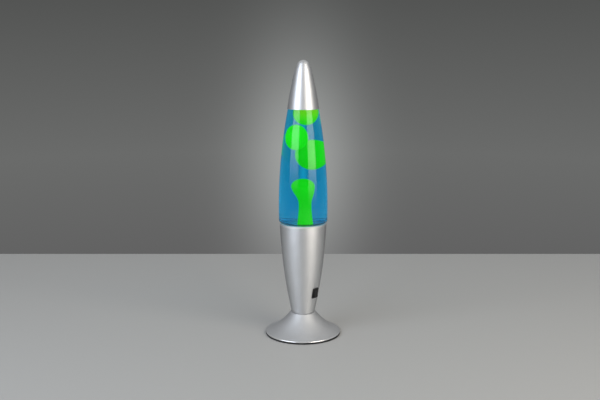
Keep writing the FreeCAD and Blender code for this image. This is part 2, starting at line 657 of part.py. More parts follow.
base_pressed = cut_shape("base_pressed", base_outside, [
    press_tool("switch_press", switch_frame, switch_flat_arc, "0"),
    press_tool("inlet_press", inlet_frame, inlet_flat_arc, "0"),
])
base_room = cut_shape("base_room", base_inside, [
    press_tool("switch_press_inside", switch_frame, switch_flat_arc, base_wall),
    press_tool("inlet_press_inside", inlet_frame, inlet_flat_arc, base_wall),
])
base_closed = cut_shape("base_closed", base_pressed, [base_room])
window_width = f"({housing_width} + 2 * {panel_fit})"
window_length = f"({housing_length} + 2 * {panel_fit})"
window_sizes = {"Length": window_width, "Width": window_length, "Height": f"4 * {base_wall}"}
window_corner = Vector(-val(window_width) / 2, -val(window_length) / 2, -2 * val(base_wall))
through_sheet = Placement(Vector(0, 0, -2 * val(base_wall)), Rotation())
inlet_sizes = {"Radius": inlet_hole, "Height": f"4 * {base_wall}"}
tube_sizes = {"Radius": tube_hole, "Height": f"4 * {base_wall}"}
cut_shape("base_shell", base_closed, [
    solid("Box", "switch_window", window_sizes, switch_frame * Placement(window_corner, Rotation())),
    solid("Cylinder", "inlet_way", inlet_sizes, inlet_frame * through_sheet),
    solid("Cylinder", "tube_way", tube_sizes, through_sheet),
], foot_top)

to_world = Placement(Vector(0, 0, val(foot_top)), Rotation())
on_flat = Placement(Vector(0, 0, val(flat_clear)), Rotation())

# Mains inlet: a grooved bushing in the rear flat
neck_of_bushing = f"({inlet_hole} - {inlet_fit})"
behind_sheet = f"-({base_wall} + {flat_clear} + {inlet_fit})"
cord_bushing = new_body("cord_bushing")
revolve(cord_bushing, [
    (inlet_bore, f"{behind_sheet} - {inlet_tail}"),
    (inlet_nose_radius, f"{behind_sheet} - {inlet_tail}"),
    (inlet_nose_radius, f"{behind_sheet} - {inlet_collar_thickness}"),
    (inlet_collar, f"{behind_sheet} - {inlet_collar_thickness}"),
    (inlet_collar, behind_sheet),
    (neck_of_bushing, behind_sheet),
    (neck_of_bushing, "0"),
    (inlet_collar, "0"),
    (inlet_collar, inlet_collar_thickness),
    (inlet_nose_radius, inlet_nose),
    (inlet_bore, inlet_nose),
])
cord_bushing.Placement = to_world * inlet_frame * on_flat

# Rocker switch: housing, contacts, bridge and rocker share one frame on the pressed flat
switch_place = to_world * switch_frame * on_flat
pivot_height = f"({bezel_thickness} - {pivot_depth})"
cavity_length = f"({housing_length} - 2 * {housing_wall})"
cavity_width = f"({housing_width} - 2 * {housing_wall})"

switch_housing = new_body("switch_housing")
bezel_sketch = new_sketch(switch_housing, "bezel", "XY_Plane")
draw_outline(bezel_sketch, rounded_rectangle(bezel_width, bezel_length, bezel_corner))
bezel = extrude(switch_housing, bezel_sketch, bezel_thickness, "bezel")
round_edges(switch_housing, bezel, bezel_edge, "bezel_edge",
            lambda edge: edge.BoundBox.ZMin > val(bezel_thickness) / 2)
box_sketch = new_sketch(switch_housing, "box", "XY_Plane")
draw_outline(box_sketch, rectangle(housing_width, housing_length))
extrude(switch_housing, box_sketch, housing_depth, "box", downward=True)
cavity_sketch = new_sketch(switch_housing, "cavity", "XY_Plane")
draw_outline(cavity_sketch, rectangle(cavity_width, cavity_length))
cut_pocket(switch_housing, cavity_sketch, f"2 * ({housing_depth} - {housing_wall})", "cavity", midplane=True)
socket_sketch = new_sketch(switch_housing, "socket", "YZ_Plane")
draw_circle(socket_sketch, "0", pivot_height, f"{pivot_radius} + {pivot_fit}")
cut_pocket(switch_housing, socket_sketch, housing_width, "socket", midplane=True)
slot_sketch = new_sketch(switch_housing, "slot", "XY_Plane")
slot_width = f"({tab_width} + 2 * {tab_fit})"
slot_length = f"{tab_sheet} + 2 * {tab_fit}"
for side in (-1, 1):
    draw_outline(slot_sketch, rectangle(slot_width, slot_length, f"{side} * {tab_spacing} / 2"))
cut_pocket(switch_housing, slot_sketch, f"1.1 * {housing_depth}", "slot")
switch_housing.Placement = switch_place

switch_contacts = new_body("switch_contacts")
tab_sketch = new_sketch(switch_contacts, "tab", "XY_Plane")
for side in (-1, 1):
    draw_outline(tab_sketch, rectangle(tab_width, tab_sheet, f"{side} * {tab_spacing} / 2"))
extrude(switch_contacts, tab_sketch, f"{tab_length} + {tab_inside}", "tab")
tab_end = Vector(0, 0, -val(f"{housing_depth} + {tab_length}"))
switch_contacts.Placement = switch_place * Placement(tab_end, Rotation())

# The bridge lies on both contacts, and its pin stands under the rocker
bridge_bottom = f"({tab_inside} - {housing_depth})"
rocker_sweep = f"sqrt(pow({rocker_depth}; 2) + pow({rocker_foot}; 2))"
pin_length = f"{pivot_height} - {rocker_sweep} - {rocker_fit} - {bridge_bottom}"
switch_bridge = new_body("switch_bridge")
bridge_sketch = new_sketch(switch_bridge, "strip", "XY_Plane")
draw_outline(bridge_sketch, rectangle(bridge_width, f"{tab_spacing} + 2 * {tab_sheet}"))
extrude(switch_bridge, bridge_sketch, bridge_sheet, "strip")
pin_sketch = new_sketch(switch_bridge, "pin", "XY_Plane")
draw_circle(pin_sketch, "0", "0", bridge_pin)
extrude(switch_bridge, pin_sketch, pin_length, "pin")
switch_bridge.Placement = switch_place * Placement(Vector(0, 0, val(bridge_bottom)), Rotation())

# The rocker is drawn level about its pivot and rests with its upper half pressed in
rocker_half = f"({cavity_length} / 2 - {rocker_fit})"
rocker_top = f"({rocker_half} - {rocker_draft})"
blend_arc = f"({rocker_blend} / sin({rocker_angle}))"
blend_height = f"({pivot_depth} + {rocker_rise} + {blend_arc} * (1 - cos({rocker_angle})))"
end_height = f"({blend_height} + ({rocker_top} - {rocker_blend}) * tan({rocker_angle}))"
wrap_out = f"{rocker_half} * cos({rocker_wrap})"
wrap_down = f"-{rocker_half} * sin({rocker_wrap})"
switch_rocker = new_body("switch_rocker")
rocker_sketch = new_sketch(switch_rocker, "side", "YZ_Plane")
draw_outline(rocker_sketch, [
    (rocker_half, "0"),
    (rocker_top, end_height),
    (rocker_blend, blend_height, blend_arc, -1),
    (f"-{rocker_blend}", blend_height),
    (f"-{rocker_top}", end_height),
    (f"-{rocker_half}", "0", rocker_half, 1),
    (f"-{wrap_out}", wrap_down),
    (f"-{rocker_foot}", f"-{rocker_depth}"),
    (rocker_foot, f"-{rocker_depth}"),
    (wrap_out, wrap_down, rocker_half, 1),
])
extrude(switch_rocker, rocker_sketch, f"{cavity_width} - 2 * {rocker_fit}", "side", midplane=True)
stud_sketch = new_sketch(switch_rocker, "studs", "YZ_Plane")
draw_circle(stud_sketch, "0", "0", pivot_radius)
extrude(switch_rocker, stud_sketch, f"{housing_width} - {rocker_fit}", "studs", midplane=True)
rocker_rest = Placement(Vector(0, 0, val(pivot_height)), Rotation(Vector(1, 0, 0), -val(rocker_angle)))
switch_rocker.Placement = switch_place * rocker_rest

# Threaded tube, nuts and washers that hold foot, body and lampholder together
foot_inside = f"({foot_top} - {foot_wall})"
lower_nut_bottom = f"({foot_inside} - {washer_thickness} - {nut_height})"
tube_bottom = f"({lower_nut_bottom} - {tube_end})"
turned_part("threaded_tube", tube_bottom, [
    (tube_bore, "0"),
    (tube_radius, "0"),
    (tube_radius, f"{holder_bottom} + {holder_neck_height} - {tube_bottom}"),
    (tube_bore, f"{holder_bottom} + {holder_neck_height} - {tube_bottom}"),
])


def washer(label, height):
    turned_part(label, height, [
        (f"{tube_radius} + {thread_fit}", "0"),
        (washer_radius, "0"),
        (washer_radius, washer_thickness),
        (f"{tube_radius} + {thread_fit}", washer_thickness),
    ])


def nut(label, height):
    body = new_body(label)
    sketch = new_sketch(body, "hexagon", "XY_Plane")
    corner = f"({nut_flats} / sqrt(3))"
    draw_outline(sketch, [(f"{corner} * cos({turn})", f"{corner} * sin({turn})") for turn in range(0, 360, 60)])
    draw_circle(sketch, "0", "0", f"{tube_radius} + {thread_fit}")
    extrude(body, sketch, nut_height, "hexagon")
    cut_groove(body, [
        (f"{corner} - {nut_chamfer}", nut_height),
        (f"{corner} + {nut_chamfer}", f"{nut_height} - {nut_chamfer}"),
        (f"{corner} + {nut_chamfer}", nut_height),
    ], "chamfer")
    body.setExpression("Placement.Base.z", f"{height}")


washer("lower_washer", f"{foot_inside} - {washer_thickness}")
nut("lower_nut", lower_nut_bottom)
washer("upper_washer", base_floor)
nut("upper_nut", f"{base_floor} + {washer_thickness}")

# Terminal block: local +X points away from the lamp's axis
block_middle = f"({block_distance} + {block_depth} / 2)"
block_face = f"({block_distance} + {block_depth})"
entry_ring = f"sqrt(pow({block_middle}; 2) + pow({block_spacing} / 2; 2))"
tab_side = f"({tab_width} / 2 + {tab_clear} + {wire_thickness} / 2)"
tab_turn = math.degrees(math.asin(val(tab_side) / val(entry_ring)))
pole_turn = math.degrees(math.atan2(val(block_spacing) / 2, val(block_middle)))
entry_turn = val(switch_azimuth) + tab_turn
block_bottom = f"({base_floor} + {block_lift})"
block_turn = Rotation(Vector(0, 0, 1), entry_turn + 90 + pole_turn)
block_place = Placement(Vector(0, 0, val(block_bottom)), block_turn)

terminal_block = new_body("terminal_block")
block_sketch = new_sketch(terminal_block, "block", "XY_Plane")
draw_outline(block_sketch, [
    (block_distance, f"-{block_length} / 2"),
    (block_face, f"-{block_length} / 2"),
    (block_face, f"{block_length} / 2"),
    (block_distance, f"{block_length} / 2"),
])
block_bore = f"{wire_thickness} / 2 + {block_fit}"
for side in (-1, 1):
    draw_circle(block_sketch, block_middle, f"{side} * {block_spacing} / 2", block_bore)
extrude(terminal_block, block_sketch, block_height, "block")


def draw_screws(sketch, radius):
    for side in (-1, 1):
        for height in (block_row, f"{block_height} - {block_row}"):
            draw_circle(sketch, f"{side} * {block_spacing} / 2", height, radius)


sink_sketch = new_sketch(terminal_block, "sink", "YZ_Plane", block_face)
draw_screws(sink_sketch, f"{block_screw} + {block_fit}")
cut_pocket(terminal_block, sink_sketch, f"{block_screw_sink} + {block_screw_length}", "sink")
terminal_block.Placement = block_place

terminal_screws = new_body("terminal_screws")
screws_sketch = new_sketch(terminal_screws, "screws", "YZ_Plane", f"{block_face} - {block_screw_sink}")
draw_screws(screws_sketch, block_screw)
extrude(terminal_screws, screws_sketch, block_screw_length, "screws", downward=True)
terminal_screws.Placement = block_place

# Lampholder
holder_inside = f"({holder_radius} - {holder_wall})"
bowl_top = f"({holder_neck_height} + {holder_bowl})"
bowl_arc = f"sqrt((pow({holder_radius} - {holder_neck}; 2) + pow({holder_bowl}; 2)) / 2)"
holder_place = Placement(Vector(0, 0, val(holder_bottom)), Rotation(Vector(0, 0, 1), entry_turn))
holder_dome = new_body("holder_dome")
revolve(holder_dome, [
    (f"{tube_radius} + {thread_fit}", "0"),
    (holder_neck, "0"),
    (holder_neck, holder_neck_height, bowl_arc, 1),
    (holder_radius, bowl_top),
    (holder_radius, holder_dome_height),
    (holder_inside, holder_dome_height),
    (holder_inside, bowl_top, f"{bowl_arc} - {holder_wall}", -1),
    (f"{holder_neck}", f"{holder_neck_height} + {holder_wall}"),
    (f"{tube_radius} + {thread_fit}", f"{holder_neck_height} + {holder_wall}"),
])
entry_sketch = new_sketch(holder_dome, "entry", "XY_Plane")
draw_circle(entry_sketch, "0", f"-{entry_ring}", entry_radius)
entry = cut_pocket(holder_dome, entry_sketch, bowl_top, "entry", forward=True)
repeat_round(holder_dome, [entry], entry_sketch, "2", "entries")
holder_dome.Placement = holder_place

rim_outside = f"({holder_inside} + {core_rim})"
turned_part("holder_core", f"{holder_bottom} + {holder_dome_height} - {core_drop}", [
    ("0", "0"),
    (f"{holder_inside} - {core_fit}", "0"),
    (f"{holder_inside} - {core_fit}", core_drop),
    (rim_outside, core_drop),
    (rim_outside, f"{core_drop} + {core_rim_height}"),
    (f"{holder_inside} - {core_fit}", f"{core_drop} + {core_rim_height}"),
    (f"{holder_inside} - {core_fit}", f"{core_drop} + {core_rim_height} + {core_rise}"),
    ("0", f"{core_drop} + {core_rim_height} + {core_rise}"),
])
turned_part("holder_sleeve", f"{holder_bottom} + {holder_dome_height}", [
    (f"{rim_outside} + {core_fit}", "0"),
    (holder_radius, "0"),
    (holder_radius, holder_sleeve_height),
    (holder_inside, holder_sleeve_height),
    (holder_inside, f"{core_rim_height} + {core_fit}"),
    (f"{rim_outside} + {core_fit}", f"{core_rim_height} + {core_fit}"),
])
shell_inside = f"({thread_crest} + {shell_fit})"
turned_part("holder_screw_shell", f"{holder_bottom} + {core_top}", [
    (shell_hole, "0"),
    (f"{shell_inside} + {shell_wall}", "0"),
    (f"{shell_inside} + {shell_wall}", shell_height),
    (shell_inside, shell_height),
    (shell_inside, shell_wall),
    (shell_hole, shell_wall),
])
tongue_rise = f"({tongue_height} - {tongue_edge})"
tongue_arc = f"(pow({tongue_radius}; 2) + pow({tongue_rise}; 2)) / (2 * {tongue_rise})"
turned_part("holder_tongue", f"{holder_bottom} + {core_top}", [
    ("0", "0"),
    (tongue_radius, "0"),
    (tongue_radius, tongue_edge, tongue_arc, 1),
    ("0", tongue_height),
])
terminal_bottom = f"({holder_bottom} + {holder_dome_height} - {core_drop} - {terminal_height})"
holder_terminals = new_body("holder_terminals")
terminal_sketch = new_sketch(holder_terminals, "sleeve", "XY_Plane")
draw_circle(terminal_sketch, "0", f"-{entry_ring}", terminal_radius)
draw_circle(terminal_sketch, "0", f"-{entry_ring}", f"{wire_thickness} / 2 + {terminal_fit}")
terminal = extrude(holder_terminals, terminal_sketch, terminal_height, "sleeve")
repeat_round(holder_terminals, [terminal], terminal_sketch, "2", "sleeves")
terminal_turn = Rotation(Vector(0, 0, 1), entry_turn)
holder_terminals.Placement = Placement(Vector(0, 0, val(terminal_bottom)), terminal_turn)

# Reflector bulb
tip_arc = f"(pow({tip_radius}; 2) + pow({tip_height}; 2)) / (2 * {tip_height})"
turned_part("bulb_tip", tip_bottom, [
    ("0", "0", tip_arc, 1),
    (tip_radius, tip_height),
    ("0", tip_height),
])
plug_of_bead = f"({thread_bore} - {seal_fit})"
turned_part("bulb_insulator", f"{tip_bottom} + {tip_height}", [
    ("0", "0"),
    (insulator_foot, "0"),
    (thread_root, insulator_height),
    (plug_of_bead, insulator_height),
    (plug_of_bead, f"{insulator_height} + {insulator_plug}"),
    ("0", f"{insulator_height} + {insulator_plug}"),
])
thread_middle = f"(({thread_crest} + {thread_root}) / 2)"
thread_depth = f"({thread_crest} - {thread_root})"
thread_arc = f"((pow({thread_depth}; 2) + pow({thread_pitch} / 2; 2)) / (4 * {thread_depth}))"
skirt_outside = f"({bulb_neck} + {seal_fit} + {skirt_wall})"
ridges = []
for half in range(2 * int(val(thread_ridges))):
    ridges.append((thread_middle, f"{half} * {thread_pitch} / 2", thread_arc, 1 if half % 2 == 0 else -1))
turned_part("bulb_thread", thread_bottom, [(thread_bore, "0")] + ridges + [
    (thread_middle, thread_length),
    (skirt_outside, f"{thread_length} + {skirt_flare}"),
    (skirt_outside, f"{thread_length} + {bulb_skirt}"),
    (f"{bulb_neck} + {seal_fit}", f"{thread_length} + {bulb_skirt}"),
    (f"{bulb_neck} + {seal_fit}", f"{thread_length} + {bulb_skirt} - {bulb_sunk}"),
    (thread_bore, f"{thread_length} + {bulb_skirt} - {bulb_sunk}"),
])
face_middle = f"({bulb_height} - {bulb_face})"
face_edge = f"({bulb_radius} - {bulb_edge})"
inner_edge = f"({face_edge} * ({bulb_face} - {bulb_wall}) / {bulb_face})"
turned_part("bulb_glass", glass_bottom, [
    (bulb_neck, "0"),
    (bulb_neck, bulb_neck_height, bulb_flank, 1),
    (bulb_radius, bulb_widest, bulb_edge_arc, 1),
    (face_edge, f"{face_middle} + sqrt(pow({bulb_face}; 2) - pow({face_edge}; 2))", bulb_face, 1),
    ("0", bulb_height),
    ("0", f"{bulb_height} - {bulb_wall}", f"{bulb_face} - {bulb_wall}", -1),
    (inner_edge, f"{face_middle} + sqrt(pow({bulb_face} - {bulb_wall}; 2) - pow({inner_edge}; 2))",
     f"{bulb_edge_arc} - {bulb_wall}", -1),
    (f"{bulb_radius} - {bulb_wall}", bulb_widest, f"{bulb_flank} - {bulb_wall}", -1),
    (f"{bulb_neck} - {bulb_wall}", bulb_neck_height),
    (f"{bulb_neck} - {bulb_wall}", "0"),
])
stem_foot = f"({bulb_neck} - {bulb_wall} - {seal_fit})"
turned_part("bulb_stem", glass_bottom, [
    ("0", "0"),
    (stem_foot, "0"),
    (stem_foot, stem_edge, stem_hollow, -1),
    (stem_radius, stem_flare),
    (stem_radius, stem_height),
    ("0", stem_height),
])


# Bent wire: straight runs joined by arcs that touch both, and turns made of two arcs each
def arc_edge(start, corner, end):
    half = (corner - start).getAngle(end - corner) / 2
    middle = (start + end) / 2
    return Part.Arc(start, middle + (corner - middle) * (math.cos(half) / (1 + math.cos(half))), end).toShape()


def two_arcs(start, start_way, end, end_way):
    step = end - start
    along = step.dot(start_way + end_way)
    spread = 2 * (1 - start_way.dot(end_way))
    reach = (math.sqrt(along**2 + spread * step.dot(step)) - along) / spread
    first = start + start_way * reach
    last = end - end_way * reach
    meeting = (first + last) / 2
    return [arc_edge(start, first, meeting), arc_edge(meeting, last, end)]


def wire_solid(label, edges, thickness):
    path = Part.Wire(edges)
    start = edges[0].valueAt(edges[0].FirstParameter)
    way = edges[0].tangentAt(edges[0].FirstParameter)
    section = Part.Wire(Part.Circle(start, way, thickness / 2).toShape())
    feature = doc.addObject("Part::Feature", label)
    feature.Label = label
    feature.Shape = path.makePipeShell([section], True, False)
    sub_parts.append(feature)
    volume_ratio = feature.Shape.Volume / (math.pi * thickness**2 / 4 * path.Length)
    print(f"{label}: length {path.Length:.1f}, volume over section times length {volume_ratio:.4f}")
    return feature


def bent_wire(label, points, thickness):
    edges = []
    radii = []
    start = points[0]
    for before, corner, after in zip(points, points[1:], points[2:]):
        coming = (corner - before).normalize()
        going = (after - corner).normalize()
        reach = val(wire_bend) * min((corner - before).Length, (after - corner).Length)
        radii.append(reach / math.tan(coming.getAngle(going) / 2))
        edges.append(Part.LineSegment(start, corner - coming * reach).toShape())
        edges.append(arc_edge(corner - coming * reach, corner, corner + going * reach))
        start = corner + going * reach
    edges.append(Part.LineSegment(start, points[-1]).toShape())
    print(f"{label}: bend radii", [round(radius, 1) for radius in radii])
    return wire_solid(label, edges, thickness)


# Filament between its two leads
lead_side = val(lead_spacing) / 2
span_side = val(filament_span) / 2
lead_top = val(stem_height) + val(lead_rise)
filament_points = [
    Vector(side * across, 0, val(glass_bottom) + up)
    for side, across, up in (
        (-1, lead_side, val(stem_height)),
        (-1, lead_side, lead_top),
        (-1, span_side, val(filament_height) - val(filament_drop)),
        (-1, span_side, val(filament_height)),
        (1, span_side, val(filament_height)),
        (1, span_side, val(filament_height) - val(filament_drop)),
        (1, lead_side, lead_top),
        (1, lead_side, val(stem_height)),
    )
]
bent_wire("bulb_filament", filament_points, val(filament_wire))


# Inner wires. A place round the axis is given by its distance, its azimuth from the front and its height.
def around(ring, azimuth, height):
    turn = math.radians(azimuth)
    return Vector(ring * math.sin(turn), -ring * math.cos(turn), height)


def tab_height(side):
    tab_middle = Vector(0, side * val(tab_spacing) / 2, -val(f"{housing_depth} + {tab_length} / 2"))
    return switch_place.multVec(tab_middle).z


ring_value = val(entry_ring)
wire_top = val(terminal_bottom) + val(terminal_height) - val(terminal_floor)
block_top = val(block_bottom) + val(block_height)
wire_bottom = block_top - val(wire_in_block)


def straight_wire(label, azimuth, bottom):
    place = Placement(around(ring_value, azimuth, bottom), Rotation())
    sizes = {"Radius": f"{wire_thickness} / 2", "Height": f"{wire_top - bottom}"}
    wire = solid("Cylinder", label, sizes, place)
    wire.Label = label
    sub_parts.append(wire)


straight_wire("neutral_wire", entry_turn + 180, wire_bottom)
straight_wire("switched_wire", entry_turn, tab_height(1) - val(wire_overlap))
supply_turn_on = entry_turn + 180 + 2 * pole_turn
supply_turn_off = val(switch_azimuth) - tab_turn
supply_end = tab_height(-1) + val(wire_overlap)
bent_wire("supply_wire", [
    around(ring_value, supply_turn_on, wire_bottom),
    around(ring_value, supply_turn_on, block_top + val(supply_rise)),
    around(val(supply_ring), val(supply_turn), block_top + val(supply_rise)),
    around(ring_value, supply_turn_off, supply_end - val(supply_drop)),
    around(ring_value, supply_turn_off, supply_end),
], val(wire_thickness))


# Bottle: radius of its side at a height, on a skin that lies inset behind the outside
def side_at(height, inset="0"):
    skin = f"pow({bottle_side} - {inset}; 2)"
    return f"({bottle_radius} - {bottle_side} + sqrt({skin} - pow({height} - {bottle_widest}; 2)))"


shoulder_top = f"({plug_height} + {bottle_shoulder})"
shoulder_start = f"({side_at(shoulder_top)} - {bottle_shoulder})"
plug_inside = f"({plug_radius} - {glass_wall})"
push_up_arc = f"(pow({bottle_ring}; 2) + pow({bottle_push_up}; 2)) / (2 * {bottle_push_up})"


def at_neck(radius, height, hollow):
    return (f"{radius} + {hollow} * (1 - cos({neck_slope}))", f"{height} - {hollow} * sin({neck_slope})")


turned_part("glass_bottle", bottle_bottom, [
    ("0", bottle_push_up, push_up_arc, -1),
    (bottle_ring, "0"),
    (f"{plug_radius} - {plug_corner}", "0", plug_corner, 1),
    (plug_radius, plug_corner),
    (plug_radius, f"{plug_height} - {step_fillet}", step_fillet, -1),
    (f"{plug_radius} + {step_fillet}", plug_height),
    (shoulder_start, plug_height, bottle_shoulder, 1),
    (side_at(shoulder_top), shoulder_top, bottle_side, 1),
    (side_at(bottle_taper), bottle_taper, neck_bend, 1),
    at_neck(neck_radius, neck_start, neck_hollow) + (neck_hollow, -1),
    (neck_radius, neck_start),
    (neck_radius, bead_height, f"{bead_radius} - {neck_radius}", 1),
    (bead_radius, f"{bead_height} + {bead_radius} - {neck_radius}"),
    (bead_radius, f"{bottle_height} - {bead_round}", bead_round, 1),
    (f"{bead_radius} - {bead_round}", bottle_height),
    (neck_bore, bottle_height),
    (neck_bore, bore_start, bore_hollow, 1),
    at_neck(neck_bore, bore_start, bore_hollow) + (f"{neck_bend} - {glass_wall}", -1),
    (side_at(bottle_taper, glass_wall), bottle_taper, f"{bottle_side} - {glass_wall}", -1),
    (side_at(shoulder_top, glass_wall), shoulder_top, f"{bottle_shoulder} - {glass_wall}", -1),
    (shoulder_start, f"{plug_height} + {glass_wall}"),
    (f"{plug_radius} + {step_fillet}", f"{plug_height} + {glass_wall}", f"{step_fillet} + {glass_wall}", 1),
    (plug_inside, f"{plug_height} - {step_fillet}"),
    (plug_inside, f"{floor_thickness} + {floor_corner}", floor_corner, -1),
    (f"{plug_inside} - {floor_corner}", floor_thickness),
    ("0", floor_thickness),
])

# Coil of wire on the bottle's floor, with a short straight end at each side
coil_bottom = val(f"{bottle_bottom} + {floor_thickness} + {liquid_gap} + {coil_wire} / 2")
coil_steepness = val(coil_pitch) / (2 * math.pi * val(coil_radius))


def coil_place(quarter):
    turn = quarter * math.pi / 2
    outward = Vector(math.cos(turn), math.sin(turn), 0)
    way = Vector(-math.sin(turn), math.cos(turn), coil_steepness).normalize()
    return outward * val(coil_radius) + Vector(0, 0, coil_bottom + quarter / 4 * val(coil_pitch)), way


quarter_count = int(val(coil_quarters))
coil_edges = []
for quarter in range(quarter_count):
    coil_edges += two_arcs(*coil_place(quarter), *coil_place(quarter + 1))
first_place, first_way = coil_place(0)
last_place, last_way = coil_place(quarter_count)
straight_end = val(coil_wire)
coil_edges.insert(0, Part.LineSegment(first_place - first_way * straight_end, first_place).toShape())
coil_edges.append(Part.LineSegment(last_place, last_place + last_way * straight_end).toShape())
wire_solid("bottle_coil", coil_edges, val(coil_wire))

# Least gap of the coil to itself, between points that lie over half a turn apart
points_per_quarter = 12
point_count = quarter_count * points_per_quarter + 1
coil_points = [coil_place(step / points_per_quarter)[0] for step in range(point_count)]
half_turn = 2 * points_per_quarter
coil_gap = min(
    (coil_points[one] - coil_points[other]).Length
    for one in range(len(coil_points))
    for other in range(one + half_turn, len(coil_points))
) - val(coil_wire)
print(f"bottle_coil: least gap to itself {coil_gap:.2f}")


# Wax column: turned about an axis that leans inward, and cut off flat by the floor
def column_outline(skin):
    rise = f"({column_head_height} - {column_waist_height})"
    spread = f"({column_head} - {column_waist})"
    sway = f"((pow({rise}; 2) + pow({spread}; 2)) / (2 * {spread}))"
    foot_arc = f"((pow({column_waist_height}; 2) + pow({column_base} - {column_waist}; 2))"
    foot_arc += f" / (2 * ({column_base} - {column_waist})) - {skin})"
    crown = f"({column_height} + {skin} - {column_head_height})"
    head_arc = f"((pow({column_head} + {skin}; 2) + pow({crown}; 2)) / (2 * {crown}))"
    return [
        ("0", f"-{column_sink}"),
        (f"{column_base} + {skin}", f"-{column_sink}"),
        (f"{column_base} + {skin}", "0", foot_arc, -1),
        (f"{column_waist} + {skin}", column_waist_height, f"{sway} * {column_swell} - {skin}", -1),
        (f"{column_waist} + {skin} + {column_swell} * {spread}",
         f"{column_waist_height} + {column_swell} * {rise}", f"{sway} * (1 - {column_swell}) + {skin}", 1),
        (f"{column_head} + {skin}", column_head_height, head_arc, 1),
        ("0", f"{column_height} + {skin}"),
    ]


column_lean = math.degrees(math.atan2(val(column_offset), val(column_head_height)))
column_turn = Rotation(Vector(0, 1, 0), -column_lean)
column_turned = turned_part("column_turned", "0", column_outline("0"), is_sub_part=False)
column_turned.setExpression("Placement.Base.x", column_offset)
column_turned.Placement.Rotation = column_turn
floor_sizes = {"Radius": f"2 * {column_base}", "Height": f"2 * {column_sink}"}
below_floor = Placement(Vector(0, 0, -2 * val(column_sink)), Rotation())
column_floor = solid("Cylinder", "column_floor", floor_sizes, below_floor)
cut_shape("wax_column", column_turned, [column_floor], f"{bottle_bottom} + {floor_thickness}")


# Free wax, and the hollow that the liquid keeps for each piece
widest_inside = f"({bottle_radius} - {glass_wall})"


def wax_ellipsoid(name, piece, skin, height):
    wax = solid("Ellipsoid", name, {
        "Radius1": f"{wax_size[piece, 'upright']} * {fill_height} + {skin}",
        "Radius2": f"{wax_size[piece, 'across']} * {widest_inside} + {skin}",
        "Radius3": f"{wax_size[piece, 'depth']} * {widest_inside} + {skin}",
    })
    wax.setExpression("Placement.Base.x", f"{wax_size[piece, 'right']} * {widest_inside}")
    wax.setExpression("Placement.Base.y", f"{wax_size[piece, 'back']} * {widest_inside}")
    wax.setExpression("Placement.Base.z", f"{wax_size[piece, 'height']} * {fill_height} + {height}")
    return wax


for piece in free_wax:
    wax = wax_ellipsoid(piece, piece, "0", bottle_bottom)
    wax.Label = piece
    sub_parts.append(wax)

# Liquid: what is left of the bottle's inside
skin_inset = f"({glass_wall} + {liquid_gap})"
liquid_floor = f"({floor_thickness} + {liquid_gap})"
level_radius = f"({side_at(bottle_taper, skin_inset)} - {fill_height} + {bottle_taper})"
filling = turned_part("filling", "0", [
    ("0", liquid_floor),
    (f"{plug_inside} - {floor_corner}", liquid_floor, f"{floor_corner} - {liquid_gap}", 1),
    (f"{plug_inside} - {liquid_gap}", f"{floor_thickness} + {floor_corner}"),
    (f"{plug_inside} - {liquid_gap}", f"{plug_height} - {step_fillet}", f"{step_fillet} + {skin_inset}", -1),
    (f"{plug_radius} + {step_fillet}", f"{plug_height} + {skin_inset}"),
    (shoulder_start, f"{plug_height} + {skin_inset}", f"{bottle_shoulder} - {skin_inset}", 1),
    (side_at(shoulder_top, skin_inset), shoulder_top, f"{bottle_side} - {skin_inset}", 1),
    (side_at(bottle_taper, skin_inset), bottle_taper),
    (level_radius, fill_height),
    ("0", fill_height),
], is_sub_part=False)
column_hollow = turned_part("column_hollow", floor_thickness, column_outline(liquid_gap), is_sub_part=False)
column_hollow.setExpression("Placement.Base.x", column_offset)
column_hollow.Placement.Rotation = column_turn
coil_height = f"({coil_quarters} / 4 * {coil_pitch} + {coil_wire} + {liquid_gap} + {coil_clear})"
coil_inner = f"({coil_radius} - {coil_wire} / 2 - {coil_clear})"
coil_outer = f"({coil_radius} + {coil_wire} / 2 + {coil_clear})"
coil_hollow = turned_part("coil_hollow", floor_thickness, [
    (coil_inner, "0"),
    (coil_outer, "0"),
    (coil_outer, coil_height),
    (coil_inner, coil_height),
], is_sub_part=False)
wax_hollows = [wax_ellipsoid(f"{piece}_hollow", piece, wax_gap, "0") for piece in free_wax]
cut_shape("liquid", filling, [column_hollow, coil_hollow] + wax_hollows, bottle_bottom)

# Crown cork: liner and fluted cap over the bottle's bead
bead_flat = f"({bead_radius} - {bead_round})"
turned_part("crown_liner", f"{bottle_bottom} + {bottle_height}", [
    ("0", "0"),
    (bead_flat, "0"),
    (bead_flat, liner_thickness),
    ("0", liner_thickness),
])
crown_bend = f"({bead_round} + {crown_fit})"
crown_outside = f"({bead_radius} + {crown_fit} + {crown_sheet})"
crown_cap = turned_part("crown_cap", f"{bottle_bottom} + {bottle_height} + {liner_thickness}", [
    ("0", "0"),
    (bead_flat, "0", crown_bend, -1),
    (f"{bead_radius} + {crown_fit}", f"-{crown_bend}"),
    (f"{bead_radius} + {crown_fit}", f"-{crown_skirt}"),
    (f"{crown_outside} + {crown_flare}", f"-{crown_skirt}"),
    (crown_outside, f"-{crown_bend}", f"{crown_bend} + {crown_sheet}", 1),
    (bead_flat, crown_sheet),
    ("0", crown_sheet),
])
flute_sketch = new_sketch(crown_cap, "flute", "XY_Plane")
draw_circle(flute_sketch, f"{crown_outside} + {flute_floor} + {flute_radius}", "0", flute_radius)
flute = cut_pocket(crown_cap, flute_sketch, f"1.1 * {crown_skirt}", "flute")
repeat_round(crown_cap, [flute], flute_sketch, crown_teeth, "flutes")

